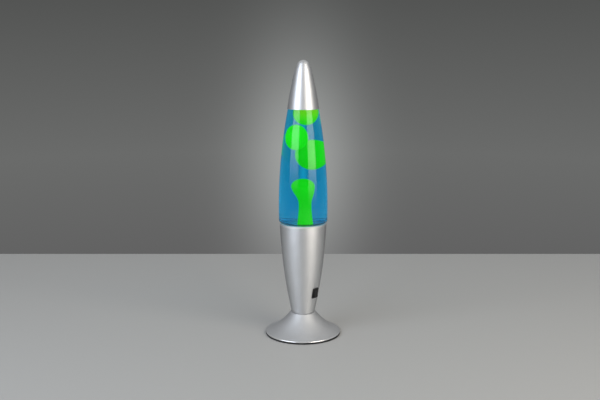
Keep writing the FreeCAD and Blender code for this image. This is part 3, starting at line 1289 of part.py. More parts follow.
# Pointed cap
cap_mouth = f"({side_at(cap_line)} + {seat_gap})"
tip_middle = f"({cap_height} - {cap_tip})"
tip_inside = f"({cap_tip} - {cap_wall})"
turned_part("top_cap", f"{bottle_bottom} + {cap_line}", [
    (cap_mouth, "0"),
    (f"{cap_mouth} + {cap_wall}", "0", cap_lower_arc, 1),
    (cap_knee_radius, cap_knee_height, cap_upper_arc, 1),
    (f"{cap_tip} * cos({cap_tip_angle})", f"{tip_middle} + {cap_tip} * sin({cap_tip_angle})", cap_tip, 1),
    ("0", cap_height),
    ("0", f"{cap_height} - {cap_wall}", tip_inside, -1),
    (f"{tip_inside} * cos({cap_tip_angle})", f"{tip_middle} + {tip_inside} * sin({cap_tip_angle})",
     f"{cap_upper_arc} - {cap_wall}", -1),
    (f"{cap_knee_radius} - {cap_wall} * cos({cap_knee_angle})",
     f"{cap_knee_height} - {cap_wall} * sin({cap_knee_angle})", f"{cap_lower_arc} - {cap_wall}", -1),
])

# Every object has to be sound before anything is written
doc.recompute()
for thing in doc.Objects:
    if "Invalid" in thing.State or "Error" in thing.State:
        raise RuntimeError(f"{thing.Name} failed: {thing.State}")
for part in sub_parts:
    if part.Shape.isNull() or not part.Shape.isValid() or not part.Shape.Solids:
        raise RuntimeError(f"{part.Label} has no sound shape")
os.makedirs("parts", exist_ok=True)
for part in sub_parts:
    part.Shape.exportStep(os.path.join("parts", f"{part.Label}.step"))
print(f"{len(sub_parts)} sub-parts, height {max(part.Shape.BoundBox.ZMax for part in sub_parts):.1f}")
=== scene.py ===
import math

import bmesh
import bpy
from mathutils import Matrix, Vector, noise


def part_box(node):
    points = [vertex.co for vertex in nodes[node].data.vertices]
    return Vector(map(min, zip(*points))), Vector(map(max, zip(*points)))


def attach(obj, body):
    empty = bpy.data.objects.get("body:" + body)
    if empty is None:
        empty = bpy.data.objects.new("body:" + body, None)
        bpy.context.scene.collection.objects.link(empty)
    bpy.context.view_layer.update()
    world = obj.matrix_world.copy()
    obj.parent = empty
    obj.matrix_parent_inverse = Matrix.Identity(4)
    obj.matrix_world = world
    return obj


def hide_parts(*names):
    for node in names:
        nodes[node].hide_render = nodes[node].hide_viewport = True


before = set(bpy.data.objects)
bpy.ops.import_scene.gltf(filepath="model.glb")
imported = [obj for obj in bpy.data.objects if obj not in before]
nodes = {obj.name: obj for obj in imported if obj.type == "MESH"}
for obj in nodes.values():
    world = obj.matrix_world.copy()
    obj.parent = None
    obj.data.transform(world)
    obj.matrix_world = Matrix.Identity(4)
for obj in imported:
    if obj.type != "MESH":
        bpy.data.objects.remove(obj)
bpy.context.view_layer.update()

mm = 0.001
print("frame loaded:", len(nodes), "nodes")


# sRGB hex to the linear values that the shaders take, with an alpha of one
def linear(hexColour):
    channels = [int(hexColour[at:at + 2], 16) / 255 for at in (1, 3, 5)]
    return [c / 12.92 if c <= 0.04045 else ((c + 0.055) / 1.055) ** 2.4 for c in channels] + [1.0]


# how many pattern cells fit in a metre, from one cell's real size
def perMetre(cellMm):
    return 1.0 / (cellMm * mm)


# adds a node with its settings, and links as {input: another node's output}, by number where names repeat
def addNode(material, kind, settings=None, links=None):
    tree = material.node_tree
    node = tree.nodes.new("ShaderNode" + kind)
    for name, value in (settings or {}).items():
        if isinstance(name, str) and hasattr(node, name):
            setattr(node, name, value)
        else:
            node.inputs[name].default_value = value
    for name, output in (links or {}).items():
        tree.links.new(output, node.inputs[name])
    return node


# numbers of a Mix node's sockets: its share, and what each kind of value is mixed from, to and into
mixShare = 0
floatFrom, floatTo, floatMixed = 2, 3, 0
vectorFrom, vectorTo, vectorMixed = 4, 5, 1
colourFrom, colourTo, colourMixed = 6, 7, 2


# a colour that changes along a value: stops are (value, colour), from low to high
def colourAlong(material, value, stops):
    lowest = stops[0][0]
    highest = stops[-1][0]
    share = addNode(material, "MapRange", {"From Min": lowest, "From Max": highest}, {"Value": value})
    ramp = addNode(material, "ValToRGB", {}, {0: share.outputs[0]})
    elements = ramp.color_ramp.elements
    elements[0].color = linear(stops[0][1])
    elements[1].color = linear(stops[-1][1])
    for at, colour in stops[1:-1]:
        elements.new((at - lowest) / (highest - lowest)).color = linear(colour)
    return ramp.outputs[0]


# the same along the height: stops are (height in mm, colour)
def colourByHeight(material, stops):
    place = addNode(material, "TexCoord").outputs["Object"]
    height = addNode(material, "SeparateXYZ", {}, {0: place}).outputs["Z"]
    return colourAlong(material, height, [(at * mm, colour) for at, colour in stops])


def newMaterial(name):
    material = bpy.data.materials.new(name)
    material.use_nodes = True
    material.node_tree.nodes.clear()
    return material


# the shader, and the surface that the render sees
def finishMaterial(material, settings, links, surface=None):
    skin = addNode(material, "BsdfPrincipled", settings, links)
    shown = surface(skin) if surface else skin.outputs[0]
    return addNode(material, "OutputMaterial", {}, {"Surface": shown})


# Finishes. Each value is what a user would change; sizes are in millimetres. Rings is how far the grain
# follows rings round the axis, drawnOut how far reflections are drawn out across them, and edge tints what
# is seen at a glancing angle. A lip is a band, by height or by radius, over which the finish turns into the
# lip's own.
finishes = {
    # spun aluminium, satin brushed and lacquered: the fine rings draw reflections out into soft upright
    # bands; its rolled rim is rougher and painted a little darker, as painted shade under the bottle's step,
    # so that no bright arc runs along it
    "brushedAluminium": dict(kind="metal", light="#e2e3e4", dark="#d9dadb", rough=(0.42, 0.50), cloudMm=14,
                             grainMm=0.7, rings=0.9, bumpMm=0.02, drawnOut=0.45, edge="#a0a0a0",
                             lip=dict(along="height", fromMm=162.0, toMm=163.6, colour="#d4d4d4",
                                      rough=0.7)),
    # the same metal bead-blasted after spinning: one even satin, with wider and softer bands; its colour is
    # darker than the body's, painted shade that tones down its highlight bands
    "blastedShadedAluminium": dict(kind="metal", light="#d0d1d2", dark="#c7c8c9", rough=(0.43, 0.49), cloudMm=14,
                             grainMm=0.7, rings=0.6, bumpMm=0.02, drawnOut=0.15),
    # the same lacquered metal with a duller brushing; its colour is darker than the body's, painted shade on
    # its upturned flare. Its rolled lip is smoother and painted brighter, a painted highlight along it
    "dullShadedAluminium": dict(kind="metal", light="#c2c3c4", dark="#b8b9ba", rough=(0.56, 0.62), cloudMm=14,
                          grainMm=0.7, rings=0.9, bumpMm=0.02, drawnOut=0.1, edge="#d8d8d8",
                          lip=dict(along="radius", fromMm=53.9, toMm=54.5, colour="#f0f0f0", rough=0.22)),
    # zinc plated steel: pale, faintly blue and yellow, with small dull spots
    "zincSteel": dict(kind="metal", light="#c6c9cc", dark="#b3b2a6", rough=(0.24, 0.42), cloudMm=5,
                      grainMm=0.35, bumpMm=0.015),
    # tinned sheet and wire: brighter and smoother than zinc
    "tinnedSteel": dict(kind="metal", light="#d3d4d4", dark="#c2c2c0", rough=(0.18, 0.30), cloudMm=4,
                        grainMm=0.4, bumpMm=0.01),
    # stamped brass, a little tarnished
    "brass": dict(kind="metal", light="#d8b46a", dark="#a97f3b", rough=(0.22, 0.40), cloudMm=3, grainMm=0.4,
                  bumpMm=0.01),
    # nickel over brass on the bulb's thread
    "nickel": dict(kind="metal", light="#d6d2c8", dark="#b9b3a6", rough=(0.16, 0.30), cloudMm=3, grainMm=0.3,
                   rings=0.5, bumpMm=0.01),
    # a drop of solder, lumpy and half dull
    "solder": dict(kind="metal", light="#c2c3c6", dark="#8f9094", rough=(0.25, 0.50), cloudMm=1.2,
                   grainMm=0.5, bumpMm=0.05),
    # drawn tungsten wire: dark grey and half dull
    "tungsten": dict(kind="metal", light="#86868a", dark="#5d5d61", rough=(0.35, 0.50), cloudMm=1,
                     grainMm=0.3, bumpMm=0.01),
    # closed-cell foam: almost black, with open pores
    "foam": dict(kind="solid", light="#17171a", dark="#08080a", rough=(0.80, 0.95), cloudMm=6, grainMm=0.8,
                 bumpMm=0.12),
    # nylon moulded in a spark-eroded tool: black with a fine even grain and a soft shine
    "blackNylon": dict(kind="solid", light="#0d0d0e", dark="#070708", rough=(0.42, 0.52), cloudMm=5,
                       grainMm=0.35, bumpMm=0.02),
    # phenolic moulding, nearly black brown with paler filler
    "phenolic": dict(kind="solid", light="#2c211c", dark="#191311", rough=(0.30, 0.45), cloudMm=3,
                     grainMm=0.5, bumpMm=0.02),
    # glazed porcelain, warm white
    "porcelain": dict(kind="solid", light="#ece8dd", dark="#dcd6c8", rough=(0.10, 0.18), cloudMm=5,
                      grainMm=1.5, bumpMm=0.02),
    # nylon moulded white: half dull, with an even grain
    "whiteNylon": dict(kind="solid", light="#e6e4dd", dark="#d6d3c9", rough=(0.40, 0.52), cloudMm=4,
                       grainMm=0.4, bumpMm=0.02),
    # plastic insulation drawn over wire: smooth, with a soft shine
    "brownInsulation": dict(kind="solid", light="#6a3d1d", dark="#532e14", rough=(0.38, 0.48), cloudMm=4,
                            grainMm=0.5, bumpMm=0.01),
    "blueInsulation": dict(kind="solid", light="#2f66b4", dark="#23508f", rough=(0.38, 0.48), cloudMm=4,
                           grainMm=0.5, bumpMm=0.01),
    # the black glass between the bulb's tip and its thread: smooth and shiny
    "blackGlassBead": dict(kind="solid", light="#0c0c10", dark="#060608", rough=(0.06, 0.12), cloudMm=3,
                           grainMm=1.0, bumpMm=0.01),
    # the soft disc in the crown cap: pale and matt
    "sealingDisc": dict(kind="solid", light="#dcd8ca", dark="#c8c3b3", rough=(0.55, 0.70), cloudMm=3,
                        grainMm=0.6, bumpMm=0.02),
}


# how every finish is mottled: the sums of cloud and grain at which it is smoothest and roughest, the
# detail of both noises, and how strongly the grain stands up
mottling = {"smoothAt": 0.6, "roughAt": 1.4, "cloudDetail": 4.0, "grainDetail": 3.0, "bump": 0.35}
quarterTurn = 0.25  # the tangent runs round the axis, and this turns the drawn-out way across the rings


# the colour and the roughness, turned into the lip's own over its band
def mixIntoLip(material, lip, measure, colour, roughness):
    band = addNode(material, "MapRange", {"From Min": lip["fromMm"] * mm, "From Max": lip["toMm"] * mm},
                   {"Value": measure}).outputs[0]
    mixedColour = addNode(material, "Mix", {"data_type": "RGBA", colourTo: linear(lip["colour"])},
                          {mixShare: band, colourFrom: colour})
    mixedRoughness = addNode(material, "Mix", {"data_type": "FLOAT", floatTo: lip["rough"]},
                             {mixShare: band, floatFrom: roughness})
    return mixedColour.outputs[colourMixed], mixedRoughness.outputs[floatMixed]


# A metal or moulded finish: cloudy colour, mottled roughness and a fine grain. On spun metal the grain
# runs in rings round the axis, a few times coarser than the real tool marks so that it shows.
def makeFinish(name, kind, light, dark, rough, cloudMm, grainMm, bumpMm, rings=0.0, drawnOut=0.0,
               edge="#ffffff", lip=None):
    material = newMaterial(name)
    place = addNode(material, "TexCoord").outputs["Object"]
    flat = addNode(material, "VectorMath", {"operation": "MULTIPLY", 1: (1, 1, 0)}, {0: place})
    radius = addNode(material, "VectorMath", {"operation": "LENGTH"}, {0: flat.outputs[0]}).outputs["Value"]
    height = addNode(material, "SeparateXYZ", {}, {0: place}).outputs["Z"]
    ringPlace = addNode(material, "CombineXYZ", {}, {"X": radius, "Z": height})
    grainPlace = addNode(material, "Mix", {"data_type": "VECTOR", mixShare: rings},
                         {vectorFrom: place, vectorTo: ringPlace.outputs[0]})
    cloud = addNode(material, "TexNoise", {"Scale": perMetre(cloudMm), "Detail": mottling["cloudDetail"]},
                    {"Vector": place}).outputs["Fac"]
    grain = addNode(material, "TexNoise", {"Scale": perMetre(grainMm), "Detail": mottling["grainDetail"]},
                    {"Vector": grainPlace.outputs[vectorMixed]}).outputs["Fac"]
    colour = addNode(material, "Mix",
                     {"data_type": "RGBA", colourFrom: linear(dark), colourTo: linear(light)},
                     {mixShare: cloud}).outputs[colourMixed]
    both = addNode(material, "Math", {"operation": "ADD"}, {0: cloud, 1: grain})
    roughness = addNode(material, "MapRange",
                        {"From Min": mottling["smoothAt"], "From Max": mottling["roughAt"],
                         "To Min": rough[0], "To Max": rough[1]},
                        {"Value": both.outputs[0]}).outputs[0]
    bump = addNode(material, "Bump", {"Strength": mottling["bump"], "Distance": bumpMm * mm},
                   {"Height": grain})
    if lip:
        measure = {"radius": radius, "height": height}[lip["along"]]
        colour, roughness = mixIntoLip(material, lip, measure, colour, roughness)
    links = {"Base Color": colour, "Roughness": roughness, "Normal": bump.outputs[0]}
    if drawnOut:
        links["Tangent"] = addNode(material, "Tangent", {"direction_type": "RADIAL", "axis": "Z"}).outputs[0]
    finishMaterial(material, {"Metallic": 1.0 if kind == "metal" else 0.0, "Anisotropic": drawnOut,
                              "Anisotropic Rotation": quarterTurn, "Specular Tint": linear(edge)}, links)
    return material


finish = {name: makeFinish(name, **values) for name, values in finishes.items()}


# lamps shine straight through, as through real clear glass, so no dark shadow falls inside
def letLampsThrough(material, tint):
    def surface(skin):
        path = addNode(material, "LightPath")
        through = addNode(material, "BsdfTransparent", {"Color": linear(tint)})
        mix = addNode(material, "MixShader", {}, {0: path.outputs["Is Shadow Ray"], 1: skin.outputs[0],
                                                  2: through.outputs[0]})
        return mix.outputs[0]
    return surface


# how strongly each of them bends light
ior = {"glass": 1.5, "liquid": 1.36, "wax": 1.44}

# Soda-lime glass, blown in a mould: clear, a trace of green, with a faint waviness. Its thick foot gets
# rings of darker green on the outside, by height in millimetres: painted shade for the dark gap at the
# body's rim, seen through the thick glass.
glass = {
    "tint": "#fbfffd", "shadow": "#f4faf8", "waveMm": 26, "waveDepthMm": 0.04, "bump": 0.25,
    "foot": ((165.4, "#d8fff6"), (166.3, "#246c64"), (168.5, "#246c64"), (169.6, "#fbfffd")),
}
# where it is wetted, light passes from glass to liquid, so the skin there bends and mirrors it far less
glassIor = {"blownGlass": ior["glass"], "wettedGlass": ior["glass"] / ior["liquid"]}


def makeBottleGlass(name):
    material = newMaterial(name)
    place = addNode(material, "TexCoord").outputs["Object"]
    wave = addNode(material, "TexNoise", {"Scale": perMetre(glass["waveMm"]), "Detail": 1.0},
                   {"Vector": place})
    bump = addNode(material, "Bump", {"Strength": glass["bump"], "Distance": glass["waveDepthMm"] * mm},
                   {"Height": wave.outputs["Fac"]})
    links = {"Normal": bump.outputs[0]}
    # outside, the foot's rings of painted shade by height; inside, the plain tint
    if name == "blownGlass":
        inside = addNode(material, "NewGeometry").outputs["Backfacing"]
        tint = addNode(material, "Mix", {"data_type": "RGBA", colourTo: linear(glass["tint"])},
                       {mixShare: inside, colourFrom: colourByHeight(material, glass["foot"])})
        links["Base Color"] = tint.outputs[colourMixed]
    finishMaterial(material, {"Base Color": linear(glass["tint"]), "Roughness": 0.0, "IOR": glassIor[name],
                              "Transmission Weight": 1.0}, links, letLampsThrough(material, glass["shadow"]))
    return material


# Dyed water: blue, deepening with the way through it. A painted glow on its far side, by height in
# millimetres, stands in for bulb light scattered in it. It is left out round the bottle's step, so that a
# dark arc of painted shade crosses there.
liquid = {
    "dye": "#30f4fc", "density": 100.0, "shadow": "#9fe0f4",
    "glow": ((160.8, "#0086a4"), (163.0, "#0086a4"), (163.4, "#000000"), (167.6, "#000000"),
             (168.3, "#0085a5"), (270.0, "#00718c")),
}
# its top meets air, and its sides meet the glass, whose wetted skin already bends the light
liquidIor = {"liquidTop": ior["liquid"], "blueLiquid": 1.0}


def makeLiquid(name):
    material = newMaterial(name)
    dye = addNode(material, "VolumeAbsorption",
                  {"Color": linear(liquid["dye"]), "Density": liquid["density"]})
    clearOfShadows = letLampsThrough(material, liquid["shadow"])

    def surface(skin):
        inside = addNode(material, "NewGeometry").outputs["Backfacing"]
        # the painted glow: the liquid emits on its far side only, by height, with the painted dark arc
        glow = addNode(material, "Emission", {}, {"Color": colourByHeight(material, liquid["glow"]),
                                                  "Strength": inside})
        return addNode(material, "AddShader", {}, {0: clearOfShadows(skin), 1: glow.outputs[0]}).outputs[0]

    output = finishMaterial(material, {"Base Color": linear("#ffffff"), "Roughness": 0.0,
                                       "IOR": liquidIor[name], "Transmission Weight": 1.0}, {}, surface)
    material.node_tree.links.new(dye.outputs[0], output.inputs["Volume"])
    return material


# Molten dyed wax: a painted glow from within stands in for the bulb's light shining through it. It is
# yellower towards the top, with slow swirls of colour. Its skin meets the liquid, which bends light nearly
# as much, so it hardly shines.
wax = {
    "low": "#10e00a", "high": "#b8ce00", "fromMm": 300, "toMm": 335,  # low turns into high on the way up
    # the swirls' shade, which is strongest where their noise is low
    "shade": "#00c808", "mostShade": 0.3, "shadedFrom": 0.3, "shadedTo": 0.75,
    "swirlMm": 18, "swirlDetail": 2.0, "swirlTwist": 0.6,
    # glow is painted light, the share of the colour that the wax emits; skin is the share that lamps light
    "glow": 0.81, "skin": 0.36,  # how much of the colour glows, and how much the lamps light
    "rough": 0.3, "bump": 0.2, "bumpMm": 0.3,
}


def makeWax():
    material = newMaterial("moltenWax")
    place = addNode(material, "TexCoord").outputs["Object"]
    parts = addNode(material, "SeparateXYZ", {}, {0: place})
    height = addNode(material, "MapRange",
                     {"interpolation_type": "SMOOTHSTEP", "From Min": wax["fromMm"] * mm,
                      "From Max": wax["toMm"] * mm}, {"Value": parts.outputs["Z"]})
    swirl = addNode(material, "TexNoise", {"Scale": perMetre(wax["swirlMm"]), "Detail": wax["swirlDetail"],
                                           "Distortion": wax["swirlTwist"]}, {"Vector": place})
    body = addNode(material, "Mix", {"data_type": "RGBA", colourFrom: linear(wax["low"]),
                                     colourTo: linear(wax["high"])}, {mixShare: height.outputs[0]})
    share = addNode(material, "MapRange", {"From Min": wax["shadedFrom"], "From Max": wax["shadedTo"],
                                           "To Min": wax["mostShade"], "To Max": 0.0},
                    {"Value": swirl.outputs["Fac"]})
    shaded = addNode(material, "Mix", {"data_type": "RGBA", colourTo: linear(wax["shade"])},
                     {mixShare: share.outputs[0], colourFrom: body.outputs[colourMixed]})
    colour = shaded.outputs[colourMixed]
    skin = addNode(material, "Mix",
                   {"data_type": "RGBA", mixShare: wax["skin"], colourFrom: linear("#000000")},
                   {colourTo: colour})
    bump = addNode(material, "Bump", {"Strength": wax["bump"], "Distance": wax["bumpMm"] * mm},
                   {"Height": swirl.outputs["Fac"]})
    # the wax emits its own colour as a painted glow
    finishMaterial(material, {"Roughness": wax["rough"], "IOR": ior["wax"] / ior["liquid"],
                              "Emission Strength": wax["glow"]},
                   {"Base Color": skin.outputs[colourMixed], "Emission Color": colour,
                    "Normal": bump.outputs[0]})
    return material


# reflector bulb: mirrored inside up to its widest place, frosted and warm on its face
bulb = {
    "mirrorMm": 131.0, "faceMm": 135.0, "mirror": "#d9dadb", "mirrorRough": 0.12, "frost": "#f4efe4",
    "frostRough": 0.55, "glow": "#ffd9a0", "glowStrength": 0.6, "speckMm": 0.5, "bump": 0.15, "bumpMm": 0.02,
}


def makeBulbGlass():
    material = newMaterial("reflectorGlass")
    place = addNode(material, "TexCoord").outputs["Object"]
    parts = addNode(material, "SeparateXYZ", {}, {0: place})
    face = addNode(material, "MapRange",
                   {"From Min": bulb["mirrorMm"] * mm, "From Max": bulb["faceMm"] * mm},
                   {"Value": parts.outputs["Z"]}).outputs[0]
    speck = addNode(material, "TexNoise", {"Scale": perMetre(bulb["speckMm"]), "Detail": 2.0},
                    {"Vector": place})
    colour = addNode(material, "Mix", {"data_type": "RGBA", colourFrom: linear(bulb["mirror"]),
                                       colourTo: linear(bulb["frost"])}, {mixShare: face})
    metal = addNode(material, "Math", {"operation": "SUBTRACT", 0: 1.0}, {1: face})
    rough = addNode(material, "MapRange", {"To Min": bulb["mirrorRough"], "To Max": bulb["frostRough"]},
                    {"Value": face})
    glow = addNode(material, "Mix", {"data_type": "RGBA", colourFrom: linear("#000000"),
                                     colourTo: linear(bulb["glow"])}, {mixShare: face})
    bump = addNode(material, "Bump", {"Strength": bulb["bump"], "Distance": bulb["bumpMm"] * mm},
                   {"Height": speck.outputs["Fac"]})
    finishMaterial(material, {"Emission Strength": bulb["glowStrength"]},
                   {"Base Color": colour.outputs[colourMixed], "Metallic": metal.outputs[0],
                    "Roughness": rough.outputs[0], "Emission Color": glow.outputs[colourMixed],
                    "Normal": bump.outputs[0]})
    return material


bottleGlass, wettedGlass = (makeBottleGlass(name) for name in glassIor)
liquidTop, blueLiquid = (makeLiquid(name) for name in liquidIor)
moltenWax = makeWax()
reflectorGlass = makeBulbGlass()
print("materials made:", len(finish), "finishes, and the glass, the liquid, the wax and the bulb's glass")

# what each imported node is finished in
nodeFinish = {
    "brushedAluminium": ["base_shell"],
    "blastedShadedAluminium": ["top_cap"],
    "dullShadedAluminium": ["foot_shell"],
    "zincSteel": ["bottom_plate", "plate_screws", "threaded_tube", "lower_washer", "lower_nut",
                  "upper_washer", "upper_nut", "terminal_screws"],
    "tinnedSteel": ["crown_cap", "bottle_coil"],
    "brass": ["holder_screw_shell", "holder_tongue", "holder_terminals", "switch_contacts", "switch_bridge"],
    "nickel": ["bulb_thread"],
    "solder": ["bulb_tip"],
    "tungsten": ["bulb_filament"],
    "foam": ["foot_pad"],
    "blackNylon": ["switch_housing", "switch_rocker", "cord_bushing"],
    "phenolic": ["holder_dome", "holder_sleeve"],
    "porcelain": ["holder_core"],
    "whiteNylon": ["terminal_block"],
    "brownInsulation": ["supply_wire", "switched_wire"],
    "blueInsulation": ["neutral_wire"],
    "blackGlassBead": ["bulb_insulator"],
    "sealingDisc": ["crown_liner"],
}


def dress(node, material):
    slots = nodes[node].data.materials
    slots.clear()
    slots.append(material)


for name, members in nodeFinish.items():
    for member in members:
        dress(member, finish[name])
dress("bulb_stem", bottleGlass)
dress("bulb_glass", reflectorGlass)


arcStepDegrees = 7  # no step along an arc turns further
sharpDegrees = 40  # an edge that turns further isn't shaded smooth
onAxisMm = 1e-6  # a smaller radius is a point on the axis


# Points along an outline. Corners are (radius, height) in millimetres; (radius, height, arc, side) means
# that the edge leaving that corner is an arc, which bulges to the right of its way if side is 1 and to
# the left if it is -1.
def outlinePoints(corners, stepMm):
    points = []
    for number, corner in enumerate(corners):
        start = Vector(corner[:2])
        points.append(start)
        if len(corner) < 4:
            continue
        end = Vector(corners[(number + 1) % len(corners)][:2])
        arc, side = corner[2:]
        chord = end - start
        right = Vector((chord.y, -chord.x)).normalized()
        centre = (start + end) / 2 - right * side * math.sqrt(max(arc ** 2 - chord.length_squared / 4, 0))
        sweep = 2 * math.asin(min(chord.length / 2 / arc, 1.0))
        steps = max(math.ceil(sweep * arc / stepMm), math.ceil(math.degrees(sweep) / arcStepDegrees), 2)
        for step in range(1, steps):
            points.append(centre + Matrix.Rotation(side * sweep * step / steps, 2) @ (start - centre))
    return points


def meshObject(name, bm, material):
    bmesh.ops.recalc_face_normals(bm, faces=bm.faces)
    mesh = bpy.data.meshes.new(name)
    bm.to_mesh(mesh)
    bm.free()
    mesh.shade_smooth()
    mesh.set_sharp_from_angle(angle=math.radians(sharpDegrees))
    mesh.materials.append(material)
    piece = bpy.data.objects.new(name, mesh)
    bpy.context.scene.collection.objects.link(piece)
    return piece


# joins rings of vertices; a ring of one vertex is a pole on the axis
def bridgeRings(bm, rings, closed=False):
    pairs = list(zip(rings, rings[1:])) + ([(rings[-1], rings[0])] if closed else [])
    for lower, upper in pairs:
        count = max(len(lower), len(upper))
        if count == 1:
            continue
        for at in range(count):
            after = (at + 1) % count
            corners = []
            for vert in (lower[at % len(lower)], lower[after % len(lower)],
                         upper[after % len(upper)], upper[at % len(upper)]):
                if vert not in corners:
                    corners.append(vert)
            bm.faces.new(corners)


def turnOutline(name, corners, bottomMm, material, stepMm=1.5, segments=192):
    bm = bmesh.new()
    rings = []
    for point in outlinePoints(corners, stepMm):
        height = (bottomMm + point.y) * mm
        if point.x < onAxisMm:
            rings.append([bm.verts.new((0, 0, height))])
            continue
        ring = []
        for at in range(segments):
            turn = 2 * math.pi * at / segments
            ring.append(bm.verts.new((point.x * mm * math.cos(turn), point.x * mm * math.sin(turn), height)))
        rings.append(ring)
    bridgeRings(bm, rings, closed=len(rings[0]) > 1)
    return meshObject(name, bm, material)


# Bottle and filling, in millimetres. Heights count from the bottle's bottom.
bottle = {
    "bottom": 158.0, "top": 198.0, "wall": 2.0,
    "radius": 35.0, "widest": 30.0, "side": 745.0,  # its widest, that height, and the side's arc
    "plug": 28.6, "plugTop": 7.3, "plugCorner": 3.0,  # the part that sinks into the body's rim
    "stepFillet": 0.8, "shoulder": 4.0,  # from the plug out to the side
    "pushUp": 0.8, "ring": 22.0, "floor": 3.0, "floorCorner": 2.0,  # hollow below and flat inside
    "taper": 178.0, "bend": 9.5, "slope": math.radians(75),  # from the side in towards the neck
    "neck": 11.8, "neckStart": 187.2, "neckHollow": 2.0,
    "bore": 8.0, "boreStart": 186.5, "boreHollow": 3.0,
    "bead": 13.1, "beadStart": 192.0, "beadRound": 2.6,
}
filling = {"level": 182.0, "overlap": 0.15}  # the liquid laps into the glass, so no air shows between them


def bottleSide(height, inset=0.0):
    b = bottle
    return b["radius"] - b["side"] + math.sqrt((b["side"] - inset) ** 2 - (height - b["widest"]) ** 2)


def bottleOutline():
    b = bottle
    wall = b["wall"]
    shoulderTop = b["plugTop"] + b["shoulder"]
    shoulderStart = bottleSide(shoulderTop) - b["shoulder"]
    inside = b["plug"] - wall
    sin, cos = math.sin(b["slope"]), math.cos(b["slope"])
    return [
        (0, b["pushUp"], (b["ring"] ** 2 + b["pushUp"] ** 2) / (2 * b["pushUp"]), -1),
        (b["ring"], 0),
        (b["plug"] - b["plugCorner"], 0, b["plugCorner"], 1),
        (b["plug"], b["plugCorner"]),
        (b["plug"], b["plugTop"] - b["stepFillet"], b["stepFillet"], -1),
        (b["plug"] + b["stepFillet"], b["plugTop"]),
        (shoulderStart, b["plugTop"], b["shoulder"], 1),
        (bottleSide(shoulderTop), shoulderTop, b["side"], 1),
        (bottleSide(b["taper"]), b["taper"], b["bend"], 1),
        (b["neck"] + b["neckHollow"] * (1 - cos), b["neckStart"] - b["neckHollow"] * sin,
         b["neckHollow"], -1),
        (b["neck"], b["neckStart"]),
        (b["neck"], b["beadStart"], b["bead"] - b["neck"], 1),
        (b["bead"], b["beadStart"] + b["bead"] - b["neck"]),
        (b["bead"], b["top"] - b["beadRound"], b["beadRound"], 1),
        (b["bead"] - b["beadRound"], b["top"]),
        (b["bore"], b["top"]),
        (b["bore"], b["boreStart"], b["boreHollow"], 1),
        (b["bore"] + b["boreHollow"] * (1 - cos), b["boreStart"] - b["boreHollow"] * sin,
         b["bend"] - wall, -1),
        (bottleSide(b["taper"], wall), b["taper"], b["side"] - wall, -1),
        (bottleSide(shoulderTop, wall), shoulderTop, b["shoulder"] - wall, -1),
        (shoulderStart, b["plugTop"] + wall),
        (b["plug"] + b["stepFillet"], b["plugTop"] + wall, b["stepFillet"] + wall, 1),
        (inside, b["plugTop"] - b["stepFillet"]),
        (inside, b["floor"] + b["floorCorner"], b["floorCorner"], -1),
        (inside - b["floorCorner"], b["floor"]),
        (0, b["floor"]),
    ]


def fillingOutline():
    b = bottle
    lap = filling["overlap"]
    skin = b["wall"] - lap
    shoulderTop = b["plugTop"] + b["shoulder"]
    shoulderStart = bottleSide(shoulderTop) - b["shoulder"]
    inside = b["plug"] - skin
    level = filling["level"]
    return [
        (0, b["floor"] - lap),
        (inside - lap - b["floorCorner"], b["floor"] - lap, b["floorCorner"] + lap, 1),
        (inside, b["floor"] + b["floorCorner"]),
        (inside, b["plugTop"] - b["stepFillet"], b["stepFillet"] + skin, -1),
        (b["plug"] + b["stepFillet"], b["plugTop"] + skin),
        (shoulderStart, b["plugTop"] + skin, b["shoulder"] - skin, 1),
        (bottleSide(shoulderTop, skin), shoulderTop, b["side"] - skin, 1),
        (bottleSide(b["taper"], skin), b["taper"]),
        (bottleSide(b["taper"], skin) - level + b["taper"], level),
        (0, level),
    ]


bottlePiece = turnOutline("bottle", bottleOutline(), bottle["bottom"], bottleGlass)
liquidLevel = (bottle["bottom"] + filling["level"]) * mm
# Under the level the glass is wetted inside: on its sides, which look in, and on its floor and step,
# which look up. The limits are the upright part of a face's normal, and how many shoulders over the step.
wetting = {"sideBelow": 0.9, "floorOver": 0.5, "shouldersUp": 2}
stepTop = (bottle["bottom"] + bottle["plugTop"] + wetting["shouldersUp"] * bottle["shoulder"]) * mm
bottlePiece.data.materials.append(wettedGlass)
for face in bottlePiece.data.polygons:
    looksIn = face.normal.xy.dot(face.center.xy) < 0 and abs(face.normal.z) < wetting["sideBelow"]
    looksUp = face.normal.z > wetting["floorOver"] and face.center.z < stepTop
    if face.center.z < liquidLevel and (looksIn or looksUp):
        face.material_index = 1
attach(bottlePiece, "bottle")
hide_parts("glass_bottle")
liquidPiece = turnOutline("liquidFill", fillingOutline(), bottle["bottom"], blueLiquid)
liquidPiece.data.materials.append(liquidTop)
levelSlack = 0.01 * mm
for face in liquidPiece.data.polygons:
    if face.center.z > liquidLevel - levelSlack:
        face.material_index = 1
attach(liquidPiece, "bottle")
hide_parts("liquid")
print("bottle and filling made")

# Free wax fills its nodes' boxes; width is its share of the box, swell how far its skin goes in and out
freeWax = {
    "waxUpper": dict(node="wax_blob_upper", body="upper_wax", width=0.93, shiftMm=0.0, swell=0.03,
                     seed=1.7),
    "waxLeft": dict(node="wax_blob_left", body="left_wax", width=1.0, shiftMm=-0.2, swell=0.03,
                    seed=5.2),
    "waxRight": dict(node="wax_blob_right", body="right_wax", width=0.96, shiftMm=0.5, swell=0.035,
                     seed=9.4),
}
